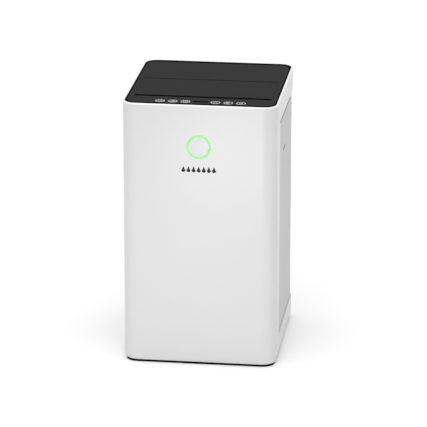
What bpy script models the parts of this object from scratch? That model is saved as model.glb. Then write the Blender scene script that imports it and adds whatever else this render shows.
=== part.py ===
"""A compressor dehumidifier, taken apart into the pieces it is assembled from.

Metres, +Z up. The front faces -Y, the origin is on the floor under the middle of the
body. Every piece is modelled where it sits with the outlet flap shut, the water tank
pushed home and the tank handle folded flat. A piece that moves hangs on an empty that
stands on its joint's axis.
"""

import math

import bmesh
import bpy
from mathutils import Matrix, Vector

# Driving dimensions.
WIDTH = 0.280
DEPTH = 0.300
HEIGHT = 0.493
CORNER_RADIUS = 0.025
SHELL_WALL = 0.003
COVER_WALL = 0.0025
GAP = 0.0003
RECESS = 0.002
SHELL_FOOT = 0.0035

# The window in the shell that the side covers and the rear cover close.
WINDOW_FRONT = -0.090
WINDOW_LOW = 0.044
WINDOW_HIGH = 0.450
COVER_SEAM = 0.098
AIR_SLIT = 0.004

# Top panel, and the flap over the air outlet.
PANEL_TOP = HEIGHT - 0.0006
PANEL_WALL = 0.003
PANEL_INSET = 0.0048
FLAP_HALF = 0.1242
SLOT_REAR = -0.0927
SLOT_FRONT = -0.0963
HINGE_Y = 0.020
HINGE_Z = 0.4897
BARREL_RADIUS = 0.0027
PIN_RADIUS = 0.0013

# Flap drive: a toothed sector under the flap and the motor's pinion below it.
GEAR_MODULE = 0.001
SECTOR_TEETH = 40
PINION_TEETH = 16
GEAR_FACE = (0.112, 0.117)
GEAR_BACKLASH = 0.0003

# Touch keys and display.
KEY_RADIUS = 0.00875
KEY_Y = -0.125
KEY_PLACES = (-0.073, -0.050, -0.027, 0.027, 0.050, 0.073)
DISPLAY_HALF = (0.0135, 0.004)
DISPLAY_Y = -0.122

# Status light on the front.
LIGHT_Z = 0.416
LIGHT_OUTER = 0.022
LIGHT_INNER = 0.019

# Blower.
FAN_Z = 0.300
WHEEL_RADIUS = 0.068
SCROLL_START = 0.074
SCROLL_END = 0.104
SCROLL_FRONT = -0.080
SCROLL_REAR = -0.020
EXIT_LEFT = 0.025
EXIT_TOP = 0.440
BLADES = 28

# Tank and tank bay.
BAY_HALF = 0.115
BAY_LOW = 0.0085
BAY_HIGH = 0.1723
TANK_HALF = 0.112
TANK_FRONT = 0.010
TANK_REAR = 0.1452
TANK_LOW = 0.0103
TANK_TOP = 0.150
TANK_WALL = 0.0022
HANDLE_Y = 0.100
HANDLE_Z = 0.157
HANDLE_REACH = 0.030
HANDLE_ARM_X = 0.070
HANDLE_RADIUS = 0.0035
FLOAT_PIVOT = (-0.082, 0.028, 0.140)

# Rear grille opening.
GRILLE_HALF = 0.100
GRILLE_LOW = 0.205
GRILLE_HIGH = 0.432

# Drain and cord outlets at the rear.
PORT_Z = 0.184
DRAIN_X = -0.085
GLAND_X = 0.085

# Shelf between the wet and the dry half.
SHELF_LOW = 0.194
SHELF_TOP = 0.197

# Refrigerant circuit.
COMPRESSOR_AT = (-0.030, -0.070)
COMPRESSOR_RADIUS = 0.055
FOOT_CIRCLE = 0.061
COIL_HALF = 0.094
COIL_LOW = 0.213
COIL_HIGH = 0.403

COVER_FACE_X = WIDTH / 2 - RECESS
COVER_FACE_Y = DEPTH / 2 - RECESS

FINISHES = {
    "white_gloss": ((0.88, 0.88, 0.88), 0.28, 0.0),
    "pale_grey": ((0.66, 0.67, 0.68), 0.50, 0.0),
    "black_satin": ((0.040, 0.040, 0.042), 0.35, 0.0),
    "black_matte": ((0.020, 0.020, 0.022), 0.60, 0.0),
    "smoked_lens": ((0.010, 0.010, 0.012), 0.10, 0.0),
    "key_grey": ((0.30, 0.30, 0.31), 0.40, 0.0),
    "green_light": ((0.30, 1.00, 0.30), 0.30, 0.0),
    "rubber": ((0.015, 0.015, 0.015), 0.85, 0.0),
    "tank_grey": ((0.42, 0.46, 0.50), 0.25, 0.0),
    "circuit_green": ((0.02, 0.22, 0.09), 0.45, 0.0),
    "copper": ((0.72, 0.38, 0.22), 0.30, 1.0),
    "aluminium": ((0.78, 0.79, 0.80), 0.35, 1.0),
    "steel": ((0.62, 0.62, 0.63), 0.25, 1.0),
    "black_paint": ((0.012, 0.012, 0.013), 0.35, 0.0),
    "filter_grey": ((0.16, 0.17, 0.18), 0.80, 0.0),
}


def clear_scene():
    for obj in list(bpy.data.objects):
        bpy.data.objects.remove(obj, do_unlink=True)


# Outlines and solids.


def arc(centre, radius, start, end, steps):
    """Points on an arc, in degrees, both ends included."""
    angles = [math.radians(start + (end - start) * step / steps) for step in range(steps + 1)]
    return [(centre[0] + radius * math.cos(a), centre[1] + radius * math.sin(a)) for a in angles]


def rounded_outline(low, high, radius, steps=4):
    """A rectangle with round corners, anticlockwise."""
    points = arc((high[0] - radius, high[1] - radius), radius, 0, 90, steps)
    points += arc((low[0] + radius, high[1] - radius), radius, 90, 180, steps)
    points += arc((low[0] + radius, low[1] + radius), radius, 180, 270, steps)
    points += arc((high[0] - radius, low[1] + radius), radius, 270, 360, steps)
    return points


def body_outline(inset, steps=8):
    """The body's outline seen from above, moved inwards by inset."""
    half_x = WIDTH / 2 - inset
    half_y = DEPTH / 2 - inset
    return rounded_outline((-half_x, -half_y), (half_x, half_y), CORNER_RADIUS - inset, steps)


def circle(centre, radius, steps=24):
    return arc(centre, radius, 0, 360, steps)[:-1]


def on_axis(axis, point, height):
    """Stands a flat point at a height along the axis."""
    u, v = point
    return {"X": (height, u, v), "Y": (u, height, v), "Z": (u, v, height)}[axis]


def prism(outline, axis, start, end):
    """An outline pushed along an axis, with both ends closed."""
    shape = bmesh.new()
    ends = [[shape.verts.new(on_axis(axis, p, h)) for p in outline] for h in (start, end)]
    skin_between(shape, ends[0], ends[1])
    for ring in ends:
        shape.faces.new(ring)
    return shape


def skin_between(shape, ring, other):
    count = len(ring)
    for index in range(count):
        after = (index + 1) % count
        shape.faces.new((ring[index], ring[after], other[after], other[index]))


def loft(rings, ring_shaped):
    """Rings joined in order. A ring-shaped loft runs back into its first ring, any other is capped."""
    shape = bmesh.new()
    made = [[shape.verts.new(point) for point in ring] for ring in rings]
    for ring, other in zip(made, made[1:]):
        skin_between(shape, ring, other)
    if ring_shaped:
        skin_between(shape, made[-1], made[0])
    else:
        shape.faces.new(made[0])
        shape.faces.new(made[-1])
    return shape


def turned(profile, axis, centre=(0.0, 0.0), steps=24):
    """A profile of (radius, height) turned round an axis; it ends on the axis, or closes on itself."""
    shape = bmesh.new()
    rings = []
    for radius, height in profile:
        points = circle(centre, radius, steps) if radius > 0 else [centre]
        rings.append([shape.verts.new(on_axis(axis, point, height)) for point in points])
    pairs = list(zip(rings, rings[1:]))
    if len(rings[0]) > 1:
        pairs.append((rings[-1], rings[0]))
    for ring, other in pairs:
        join_rings(shape, ring, other)
    return shape


def join_rings(shape, ring, other):
    if len(ring) == 1 or len(other) == 1:
        pole = ring[0] if len(ring) == 1 else other[0]
        rim = other if len(ring) == 1 else ring
        for index, vert in enumerate(rim):
            shape.faces.new((pole, vert, rim[(index + 1) % len(rim)]))
    else:
        skin_between(shape, ring, other)


def cylinder(radius, axis, start, end, centre=(0.0, 0.0), steps=24):
    return turned([(0, start), (radius, start), (radius, end), (0, end)], axis, centre, steps)


def box(low, high):
    return prism([(low[0], low[1]), (high[0], low[1]), (high[0], high[1]), (low[0], high[1])],
                 "Z", low[2], high[2])


def boxes(corners):
    """Several separate boxes in one mesh, for a cutter."""
    shape = bmesh.new()
    for low, high in corners:
        middle = (Vector(low) + Vector(high)) / 2
        size = Vector(high) - Vector(low)
        place = Matrix.Translation(middle) @ Matrix.Diagonal((*size, 1.0))
        bmesh.ops.create_cube(shape, size=1.0, matrix=place)
    return shape


# Objects.


def solid(name, shape, finish, smooth=False):
    """A finished piece, its origin in the middle of its mesh."""
    bmesh.ops.recalc_face_normals(shape, faces=shape.faces)
    middle = sum((vert.co for vert in shape.verts), Vector()) / len(shape.verts)
    bmesh.ops.translate(shape, verts=shape.verts, vec=-middle)
    mesh = bpy.data.meshes.new(name)
    shape.to_mesh(mesh)
    shape.free()
    if smooth:
        mesh.shade_smooth()
        mesh.set_sharp_from_angle(angle=math.radians(35))
    mesh.materials.append(finish_of(name, finish))
    return place_mesh(name, mesh, middle)


def place_mesh(name, mesh, location):
    obj = bpy.data.objects.new(name, mesh)
    obj.location = location
    bpy.context.scene.collection.objects.link(obj)
    return obj


def finish_of(name, finish):
    colour, roughness, metallic = FINISHES[finish]
    material = bpy.data.materials.new(name + "_" + finish)
    material.use_nodes = True
    shader = material.node_tree.nodes["Principled BSDF"]
    shader.inputs["Base Color"].default_value = (*colour, 1.0)
    shader.inputs["Roughness"].default_value = roughness
    shader.inputs["Metallic"].default_value = metallic
    return material


def helper(obj):
    obj.hide_render = True
    obj.display_type = "WIRE"
    return obj


def boolean(target, shape, operation):
    tool = helper(solid(target.name + "_" + operation.lower(), shape, "steel"))
    modifier = target.modifiers.new(tool.name, "BOOLEAN")
    modifier.operation = operation
    modifier.solver = "EXACT"
    modifier.object = tool
    return target


def cut(target, shape):
    return boolean(target, shape, "DIFFERENCE")


def fuse(target, shape):
    return boolean(target, shape, "UNION")


def hang(name, location, pieces):
    """An empty on a joint's axis, carrying the pieces that move about it."""
    pivot = bpy.data.objects.new(name, None)
    pivot.location = location
    bpy.context.scene.collection.objects.link(pivot)
    for piece in pieces:
        piece.parent = pivot
        piece.location = piece.location - Vector(location)
        carry_tools(piece, pivot, location)


def carry_tools(piece, pivot, location):
    for modifier in piece.modifiers:
        tool = modifier.object
        tool.parent = pivot
        tool.location = tool.location - Vector(location)


def rod(name, route, radius, finish, resolution=2):
    """A round rod or pipe along a route, with its ends closed."""
    curve = bpy.data.curves.new(name, "CURVE")
    curve.dimensions = "3D"
    curve.bevel_depth = radius
    curve.bevel_resolution = resolution
    curve.use_fill_caps = True
    spline = curve.splines.new("POLY")
    spline.points.add(len(route) - 1)
    for point, place in zip(spline.points, route):
        point.co = (*place, 1.0)
    curve.materials.append(finish_of(name, finish))
    obj = bpy.data.objects.new(name, curve)
    bpy.context.scene.collection.objects.link(obj)
    return obj


def rounded_route(corners, radius, steps=4):
    """A route through corners, each one rounded off by a quadratic curve."""
    places = [Vector(corner) for corner in corners]
    route = [places[0]]
    for before, at, after in zip(places, places[1:], places[2:]):
        into = at + (before - at).normalized() * radius
        out = at + (after - at).normalized() * radius
        for step in range(steps + 1):
            t = step / steps
            route.append(into * (1 - t) ** 2 + at * 2 * t * (1 - t) + out * t ** 2)
    route.append(places[-1])
    return route


# Housing.


def body_shell():
    """Front, top band and bottom band in one moulding, open on both sides and at the rear."""
    outside = [(SHELL_FOOT, 0.0030), (0.0060, 0.0014), (0.0110, 0.0005), (0.0200, 0.0),
               (HEIGHT - 0.0025, 0.0), (HEIGHT - 0.0006, 0.0006), (HEIGHT, 0.0016)]
    inside = [(HEIGHT, 0.0026), (HEIGHT - 0.0004, SHELL_WALL), (0.0200, SHELL_WALL),
              (SHELL_FOOT, 0.0048)]
    rings = [[(x, y, z) for x, y in body_outline(inset)] for z, inset in outside + inside]
    shell = solid("body_shell", loft(rings, True), "white_gloss", smooth=True)
    cut(shell, box((-WIDTH, WINDOW_FRONT, WINDOW_LOW), (WIDTH, DEPTH, WINDOW_HIGH)))
    cut(shell, box((-BAY_HALF, 0.12, BAY_LOW), (BAY_HALF, DEPTH, WINDOW_LOW + 0.01)))
    hole = LIGHT_OUTER + GAP
    cut(shell, cylinder(hole, "Y", -DEPTH, -0.13, (0.0, LIGHT_Z), 32))


def base_pan():
    levels = [(0.0010, 0.0042), (0.0032, 0.0036), (0.0032, 0.0055), (0.0060, 0.0055)]
    rings = [[(x, y, z) for x, y in body_outline(inset, 5)] for z, inset in levels]
    pan = solid("base_pan", loft(rings, False), "black_matte")
    for side in (-1, 1):
        edges = sorted((side * 0.080, side * 0.086))
        fuse(pan, box((edges[0], TANK_FRONT, 0.0055), (edges[1], 0.140, TANK_LOW - GAP)))
    for x, y in foot_places():
        cut(pan, cylinder(0.0093, "Z", -0.001, 0.0035, (x, y), 16))


def foot_places():
    return [(x, y) for y in (-0.115, 0.115) for x in (-0.105, 0.105)]


def feet():
    shape = cylinder(0.009, "Z", -0.0016, 0.0016, (0.0, 0.0), 16)
    first = solid("foot_1", shape, "rubber", smooth=True)
    first.location = (*foot_places()[0], 0.0016)
    for number, (x, y) in enumerate(foot_places()[1:], 2):
        place_mesh(f"foot_{number}", first.data, (x, y, 0.0016))


def side_cover(name, side):
    """A plain cover with a finger slot; a slit stays open over it for air."""
    low = (WINDOW_FRONT + GAP, WINDOW_LOW + GAP)
    high = (COVER_SEAM - GAP / 2, WINDOW_HIGH - AIR_SLIT)
    face = side * COVER_FACE_X
    back = side * (COVER_FACE_X - COVER_WALL)
    cover = solid(name, prism(rounded_outline(low, high, 0.002, 2), "X", back, face), "pale_grey")
    slot = rounded_outline((-0.016, 0.372), (0.022, 0.378), 0.0029, 3)
    cut(cover, prism(slot, "X", side * 0.130, side * 0.145))
    hang(name + "_pull", (face, 0.003, 0.375), [cover])


def rear_line(inset):
    half_x = WIDTH / 2 - inset
    half_y = DEPTH / 2 - inset
    radius = CORNER_RADIUS - inset
    line = [(half_x, COVER_SEAM + GAP / 2)]
    line += arc((half_x - radius, half_y - radius), radius, 0, 90, 8)
    line += arc((radius - half_x, half_y - radius), radius, 90, 180, 8)
    line.append((-half_x, COVER_SEAM + GAP / 2))
    return line


def rear_cover():
    outline = rear_line(RECESS) + rear_line(RECESS + COVER_WALL)[::-1]
    cover = solid("rear_cover", prism(outline, "Z", WINDOW_LOW + GAP, WINDOW_HIGH - GAP),
                  "pale_grey", smooth=True)
    cut(cover, box((-BAY_HALF, 0.11, 0.0), (BAY_HALF, 0.16, BAY_HIGH)))
    window = rounded_outline((-GRILLE_HALF, GRILLE_LOW), (GRILLE_HALF, GRILLE_HIGH), 0.006, 3)
    cut(cover, prism(window, "Y", 0.13, 0.16))
    cut(cover, cylinder(0.0083, "Y", 0.13, 0.16, (DRAIN_X, PORT_Z), 16))
    cut(cover, cylinder(0.0063, "Y", 0.13, 0.16, (GLAND_X, PORT_Z), 16))


def intake_grille():
    """The rear grille with the filter clipped behind it; both pull straight off."""
    low = (-GRILLE_HALF + GAP, GRILLE_LOW + GAP)
    high = (GRILLE_HALF - GAP, GRILLE_HIGH - GAP)
    grille = solid("intake_grille", prism(rounded_outline(low, high, 0.006, 3), "Y", 0.145,
                                          COVER_FACE_Y), "pale_grey")
    louvres = []
    for row in range(24):
        bottom = 0.2185 + row * 0.0085
        for left in (-0.092, 0.002):
            louvres.append(((left, 0.14, bottom), (left + 0.090, 0.16, bottom + 0.004)))
    cut(grille, boxes(louvres))
    hang("grille_pull", (0.0, COVER_FACE_Y, 0.3185), [grille, filter_frame()])


def filter_frame():
    frame = solid("filter_frame", box((-0.096, 0.138, 0.209), (0.096, 0.1447, 0.428)), "filter_grey")
    panes = []
    for left in (-0.091, -0.029, 0.033):
        for bottom in (0.214, 0.2865, 0.359):
            panes.append(((left, 0.1405, bottom), (left + 0.058, 0.16, bottom + 0.064)))
            panes.append(((left, 0.12, bottom), (left + 0.058, 0.1395, bottom + 0.064)))
    cut(frame, boxes(panes))
    return frame


# Top panel, keys and flap.


def top_panel():
    plate = prism(body_outline(PANEL_INSET), "Z", PANEL_TOP - PANEL_WALL, PANEL_TOP)
    panel = solid("top_panel", plate, "black_satin")
    flange = [[(x, y, z) for x, y in body_outline(inset)]
              for z, inset in ((0.484, 0.0033), (0.490, 0.0033), (0.490, 0.013), (0.484, 0.013))]
    fuse(panel, loft(flange, True))
    opening = FLAP_HALF + GAP
    rear_edge = HINGE_Y + BARREL_RADIUS + GAP
    cut(panel, box((-opening, SLOT_FRONT, 0.47), (opening, rear_edge, 0.50)))
    for side in (-1, 1):
        ends = sorted((side * 0.120, side * 0.1303))
        cut(panel, cylinder(PIN_RADIUS + GAP, "X", *ends, (HINGE_Y, HINGE_Z), 12))
    for x in KEY_PLACES:
        cut(panel, cylinder(KEY_RADIUS + GAP, "Z", PANEL_TOP - 0.0012, 0.50, (x, KEY_Y), 20))
    half_x = DISPLAY_HALF[0] + GAP
    half_y = DISPLAY_HALF[1] + GAP
    pocket = rounded_outline((-half_x, DISPLAY_Y - half_y), (half_x, DISPLAY_Y + half_y), 0.0015, 2)
    cut(panel, prism(pocket, "Z", PANEL_TOP - 0.0012, 0.50))


def touch_keys():
    """Flush windows over the touch board; they light up and do not travel."""
    first = solid("key_window_1", cylinder(KEY_RADIUS, "Z", -0.00045, 0.00045, (0.0, 0.0), 20),
                  "smoked_lens", smooth=True)
    height = PANEL_TOP - 0.00045
    first.location = (KEY_PLACES[0], KEY_Y, height)
    for number, x in enumerate(KEY_PLACES[1:], 2):
        place_mesh(f"key_window_{number}", first.data, (x, KEY_Y, height))


def display_lens():
    half_x, half_y = DISPLAY_HALF
    low = (-half_x, DISPLAY_Y - half_y)
    high = (half_x, DISPLAY_Y + half_y)
    solid("display_lens", prism(rounded_outline(low, high, 0.0012, 2), "Z", PANEL_TOP - 0.0009,
                                PANEL_TOP), "smoked_lens")


def outlet_flap():
    bottom = PANEL_TOP - PANEL_WALL
    reach = math.sqrt(BARREL_RADIUS ** 2 - (HINGE_Z - bottom) ** 2)
    start = math.degrees(math.atan2(bottom - HINGE_Z, -reach)) + 360
    outline = [(SLOT_REAR, bottom), (HINGE_Y - reach, bottom)]
    outline += arc((HINGE_Y, HINGE_Z), BARREL_RADIUS, start, 450, 10)[1:]
    outline += [(SLOT_REAR + 0.0006, PANEL_TOP), (SLOT_REAR, PANEL_TOP - 0.0006)]
    flap = solid("outlet_flap", prism(outline, "X", -FLAP_HALF, FLAP_HALF), "black_satin")
    pins = []
    for name, side in (("flap_pin_left", -1), ("flap_pin_right", 1)):
        ends = sorted((side * 0.1140, side * 0.1300))
        pins.append(solid(name, cylinder(PIN_RADIUS, "X", *ends, (HINGE_Y, HINGE_Z), 12), "steel",
                          smooth=True))
        ends = sorted((side * 0.1137, side * 0.1303))
        cut(flap, cylinder(PIN_RADIUS + GAP, "X", *ends, (HINGE_Y, HINGE_Z), 12))
    hang("flap_hinge", (0.0, HINGE_Y, HINGE_Z), [flap, *pins, flap_gear_sector()])


def tooth(centre, radius, angle, pitch):
    """One straight-sided tooth: root, tip, tip, root."""
    corners = ((-1.15, -0.29), (0.75, -0.11), (0.75, 0.11), (-1.15, 0.29))
    points = []
    for height, share in corners:
        reach = radius + height * GEAR_MODULE
        turn = math.radians(angle + share * pitch)
        points.append((centre[0] + reach * math.cos(turn), centre[1] + reach * math.sin(turn)))
    return points


def flap_gear_sector():
    """Toothed sector under the flap, with a tongue that lies against the flap's underside."""
    centre = (HINGE_Y, HINGE_Z)
    pitch = 360 / SECTOR_TEETH
    outline = []
    for count in range(-1, 9):
        outline += tooth(centre, GEAR_MODULE * SECTOR_TEETH / 2, -90 + count * pitch, pitch)
    outline += arc(centre, BARREL_RADIUS + GAP + 0.0001, -12, -172, 8)
    under = PANEL_TOP - PANEL_WALL - GAP
    outline += [(0.0165, under), (0.002, under), (0.002, under - 0.003), (0.013, under - 0.004)]
    return solid("flap_gear_sector", prism(outline, "X", *GEAR_FACE), "key_grey")


def flap_drive():
    drop = GEAR_MODULE * (SECTOR_TEETH + PINION_TEETH) / 2 + GEAR_BACKLASH
    centre = (HINGE_Y, HINGE_Z - drop)
    pitch = 360 / PINION_TEETH
    outline = []
    for count in range(PINION_TEETH):
        outline += tooth(centre, GEAR_MODULE * PINION_TEETH / 2, 90 + (count + 0.5) * pitch, pitch)
    pinion = solid("flap_pinion", prism(outline, "X", *GEAR_FACE), "key_grey")
    fuse(pinion, cylinder(0.0022, "X", 0.1160, 0.1260, centre, 12))
    hang("pinion_axle", (GEAR_FACE[0], *centre), [pinion])
    face = GEAR_FACE[1] + 0.0013
    profile = [(0, 0.1270), (0.0025, 0.1270), (0.0025, face), (0.0135, face), (0.0135, 0.1362),
               (0, 0.1362)]
    solid("flap_motor", turned(profile, "X", centre, 20), "steel", smooth=True)


# Air outlet.


def outlet_grille():
    grille = solid("outlet_grille", box((-0.111, -0.0985, 0.4765), (0.111, 0.015, 0.4825)),
                   "black_matte")
    slots = []
    for count in range(15):
        left = -0.103 + count * 0.014
        for front, rear in ((-0.088, -0.0405), (-0.0365, 0.011)):
            slots.append(((left, front, 0.47), (left + 0.010, rear, 0.49)))
    cut(grille, boxes(slots))


def outlet_duct():
    """Flares from the blower's mouth to the whole outlet."""
    mouth = ((EXIT_LEFT, SCROLL_FRONT), (SCROLL_END, SCROLL_REAR - COVER_WALL))
    outlet = ((-0.106, -0.088), (0.106, 0.012))
    low = EXIT_TOP + GAP
    levels = [(low, mouth, COVER_WALL), (low + 0.004, mouth, COVER_WALL),
              (0.474, outlet, COVER_WALL), (0.474, outlet, 0.0), (low + 0.0065, mouth, 0.0),
              (low, mouth, 0.0)]
    rings = [[(x, y, z) for x, y in grown_rectangle(frame, grow)] for z, frame, grow in levels]
    solid("outlet_duct", loft(rings, True), "black_matte")


def grown_rectangle(frame, grow):
    (left, front), (right, rear) = frame
    return [(left - grow, front - grow), (right + grow, front - grow),
            (right + grow, rear + grow), (left - grow, rear + grow)]


# Status light.


def status_light():
    front = -DEPTH / 2
    centre = (0.0, LIGHT_Z)
    ring = [(LIGHT_INNER, front), (LIGHT_OUTER, front), (LIGHT_OUTER, front + 0.0033),
            (0.0250, front + 0.0033), (0.0250, front + 0.0046), (LIGHT_INNER, front + 0.0046)]
    solid("light_ring", turned(ring, "Y", centre, 32), "green_light", smooth=True)
    cap = [(0, front), (LIGHT_INNER - GAP, front), (LIGHT_INNER - GAP, front + 0.0046),
           (0, front + 0.0046)]
    solid("light_cap", turned(cap, "Y", centre, 32), "white_gloss", smooth=True)
    board = [(0.008, front + 0.0060), (0.0245, front + 0.0060), (0.0245, front + 0.0076),
             (0.008, front + 0.0076)]
    solid("light_board", turned(board, "Y", centre, 24), "circuit_green")


# Blower.


def scroll_outline(grow, top):
    """The blower's spiral and its straight mouth, in X and Z, pushed outwards by grow."""
    left = EXIT_LEFT - grow
    right = SCROLL_END + grow
    start = math.degrees(math.acos(left / (SCROLL_START + grow)))
    outline = [(left, top)]
    steps = 26
    for step in range(steps + 1):
        turn = start + (360 - start) * step / steps
        radius = SCROLL_START + (SCROLL_END - SCROLL_START) * step / steps + grow
        turn = math.radians(turn)
        outline.append((radius * math.cos(turn), FAN_Z + radius * math.sin(turn)))
    outline.append((right, top))
    return outline


def blower_housing():
    outer = scroll_outline(COVER_WALL, EXIT_TOP)
    housing = solid("blower_housing", prism(outer, "Y", SCROLL_FRONT - COVER_WALL, SCROLL_REAR),
                    "black_matte")
    cut(housing, prism(scroll_outline(0.0, EXIT_TOP + 0.01), "Y", SCROLL_FRONT, 0.0))
    cut(housing, cylinder(0.010, "Y", -0.10, -0.07, (0.0, FAN_Z), 16))
    start = SCROLL_REAR + GAP
    plate = solid("blower_inlet_plate", prism(outer, "Y", start, start + COVER_WALL), "black_matte")
    cut(plate, cylinder(0.055, "Y", -0.03, 0.01, (0.0, FAN_Z), 32))


def blower_wheel():
    centre = (0.0, FAN_Z)
    back = [(0.0043, -0.0775), (WHEEL_RADIUS, -0.0775), (WHEEL_RADIUS, -0.0745), (0.014, -0.0745),
            (0.014, -0.0400), (0.0043, -0.0400)]
    wheel = solid("blower_wheel", turned(back, "Y", centre, 28), "black_matte", smooth=True)
    fuse(wheel, blades(centre))
    rim = [(0.0555, -0.0315), (0.0688, -0.0315), (0.0688, -0.0265), (0.0555, -0.0265)]
    fuse(wheel, turned(rim, "Y", centre, 28))
    shaft = solid("fan_shaft", cylinder(0.004, "Y", -0.0990, -0.0300, centre, 12), "steel",
                  smooth=True)
    hang("fan_axle", (0.0, -0.052, FAN_Z), [wheel, shaft])


def blades(centre):
    shape = bmesh.new()
    for count in range(BLADES):
        turn = 2 * math.pi * count / BLADES
        lean = Matrix.Rotation(math.radians(35), 4, "Y")
        size = Matrix.Diagonal((0.0115, 0.0455, 0.0012, 1.0))
        out = Matrix.Translation((0.062, -0.05275, 0.0))
        place = Matrix.Translation((centre[0], 0.0, centre[1])) @ Matrix.Rotation(turn, 4, "Y")
        bmesh.ops.create_cube(shape, size=1.0, matrix=place @ out @ lean @ size)
    return shape


def fan_motor():
    profile = [(0, -0.1000), (0.0043, -0.1000), (0.0043, -0.0830), (0.038, -0.0830),
               (0.042, -0.0860), (0.042, -0.1220), (0.038, -0.1260), (0, -0.1260)]
    solid("fan_motor", turned(profile, "Y", (0.0, FAN_Z), 24), "aluminium", smooth=True)


# Inner frame, water path.


def inner_frame():
    """Wall between the compressor and the tank bay, and the shelf over both."""
    front, rear = 0.003, 0.006
    outline = [(-0.084, SHELF_LOW), (front, SHELF_LOW), (front, 0.0063), (rear, 0.0063),
               (rear, SHELF_LOW), (0.137, SHELF_LOW), (0.137, SHELF_TOP), (-0.084, SHELF_TOP)]
    frame = solid("inner_frame", prism(outline, "X", -0.128, 0.128), "black_matte")
    cut(frame, box((-0.135, -0.066, 0.18), (-0.106, -0.026, 0.21)))
    cut(frame, cylinder(0.0075, "Z", 0.18, 0.21, (0.0, 0.066), 16))


def drip_tray():
    tray = solid("drip_tray", box((-0.100, 0.034, SHELF_TOP + GAP), (0.100, 0.098, 0.211)),
                 "black_matte")
    fuse(tray, cylinder(0.007, "Z", 0.188, 0.1985, (0.0, 0.066), 16))
    cut(tray, box((-0.098, 0.036, 0.1993), (0.098, 0.096, 0.22)))
    cut(tray, cylinder(0.005, "Z", 0.18, 0.21, (0.0, 0.066), 12))


def tank_shape():
    low = (-TANK_HALF, TANK_FRONT)
    high = (TANK_HALF, TANK_REAR)
    levels = [(TANK_LOW, 0.004), (TANK_LOW + 0.004, 0.0), (TANK_TOP, 0.0), (TANK_TOP, TANK_WALL),
              (TANK_LOW + 0.005, TANK_WALL), (TANK_LOW + TANK_WALL, 0.006)]
    rings = []
    for z, inset in levels:
        start = (low[0] + inset, low[1] + inset)
        end = (high[0] - inset, high[1] - inset)
        rings.append([(x, y, z) for x, y in rounded_outline(start, end, 0.012 - inset, 4)])
    return loft(rings, False)


def water_tank():
    """Tank, its outside face, the lid with its inlet, the folding handle and the float."""
    tank = solid("water_tank", tank_shape(), "tank_grey", smooth=True)
    pivot_x, pivot_y, pivot_z = FLOAT_PIVOT
    for side in (-1, 1):
        middle = pivot_x + side * 0.0205
        fuse(tank, box((middle - 0.0015, TANK_FRONT + 0.001, pivot_z - 0.006),
                       (middle + 0.0015, pivot_y + 0.005, pivot_z + 0.006)))
    ends = (pivot_x - 0.03, pivot_x + 0.03)
    cut(tank, cylinder(0.0023, "X", *ends, (pivot_y, pivot_z), 12))
    ends = (pivot_x - 0.022, pivot_x + 0.022)
    pin = solid("float_pin", cylinder(0.002, "X", *ends, (pivot_y, pivot_z), 12), "steel",
                smooth=True)
    pieces = [tank, pin, tank_face(), tank_lid()]
    hang("tank_slide", (0.0, COVER_FACE_Y, 0.090), pieces)
    tank_handle()
    tank_float()


def tank_face():
    low = (-BAY_HALF + 0.0005, BAY_LOW + 0.0005)
    high = (BAY_HALF - 0.0005, BAY_HIGH - 0.0004)
    face = solid("tank_face", prism(rounded_outline(low, high, 0.002, 2), "Y",
                                    COVER_FACE_Y - COVER_WALL, COVER_FACE_Y), "pale_grey")
    grip = rounded_outline((-0.040, 0.154), (0.040, 0.168), 0.002, 2)
    cut(face, prism(grip, "Y", 0.13, 0.16))
    return face


def tank_lid():
    inset = 0.0005
    low = (-TANK_HALF + inset, TANK_FRONT + inset)
    high = (TANK_HALF - inset, TANK_REAR - 0.001)
    top = TANK_TOP + 0.003
    lid = solid("tank_lid", prism(rounded_outline(low, high, 0.0115, 4), "Z", TANK_TOP + GAP, top),
                "pale_grey")
    for side in (-1, 1):
        ends = sorted((side * (HANDLE_ARM_X + 0.007), side * (HANDLE_ARM_X + 0.011)))
        fuse(lid, box((ends[0], HANDLE_Y - 0.006, top - 0.001), (ends[1], HANDLE_Y + 0.006, 0.163)))
    bore = HANDLE_RADIUS + GAP
    cut(lid, cylinder(bore, "X", -0.11, 0.11, (HANDLE_Y, HANDLE_Z), 16))
    cut(lid, cylinder(0.015, "Z", 0.14, 0.16, (0.0, 0.066), 20))
    return lid


def tank_handle():
    """A bail that folds flat on the lid and swings up through a quarter turn."""
    route = []
    for side in (-1, 1):
        half = [(side * (HANDLE_ARM_X + 0.013), HANDLE_Y, HANDLE_Z),
                (side * HANDLE_ARM_X, HANDLE_Y, HANDLE_Z),
                (side * HANDLE_ARM_X, HANDLE_Y + HANDLE_REACH, HANDLE_Z)]
        route += half if side < 0 else half[::-1]
    handle = rod("tank_handle", rounded_route(route, 0.005), HANDLE_RADIUS, "key_grey")
    hang("handle_hinge", (0.0, HANDLE_Y, HANDLE_Z), [handle])


def tank_float():
    pivot_x, pivot_y, pivot_z = FLOAT_PIVOT
    outline = [(pivot_y - 0.0125, 0.062), (pivot_y + 0.0125, 0.062), (pivot_y + 0.0125, 0.110),
               (pivot_y + 0.004, 0.114), (pivot_y + 0.004, pivot_z)]
    outline += arc((pivot_y, pivot_z), 0.004, 0, 180, 6)[1:]
    outline += [(pivot_y - 0.004, 0.114), (pivot_y - 0.0125, 0.110)]
    ends = (pivot_x - 0.016, pivot_x + 0.016)
    float_body = solid("tank_float", prism(outline, "X", *ends), "white_gloss")
    cut(float_body, cylinder(0.0023, "X", pivot_x - 0.03, pivot_x + 0.03, (pivot_y, pivot_z), 12))
    hang("float_hinge", FLOAT_PIVOT, [float_body])


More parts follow.
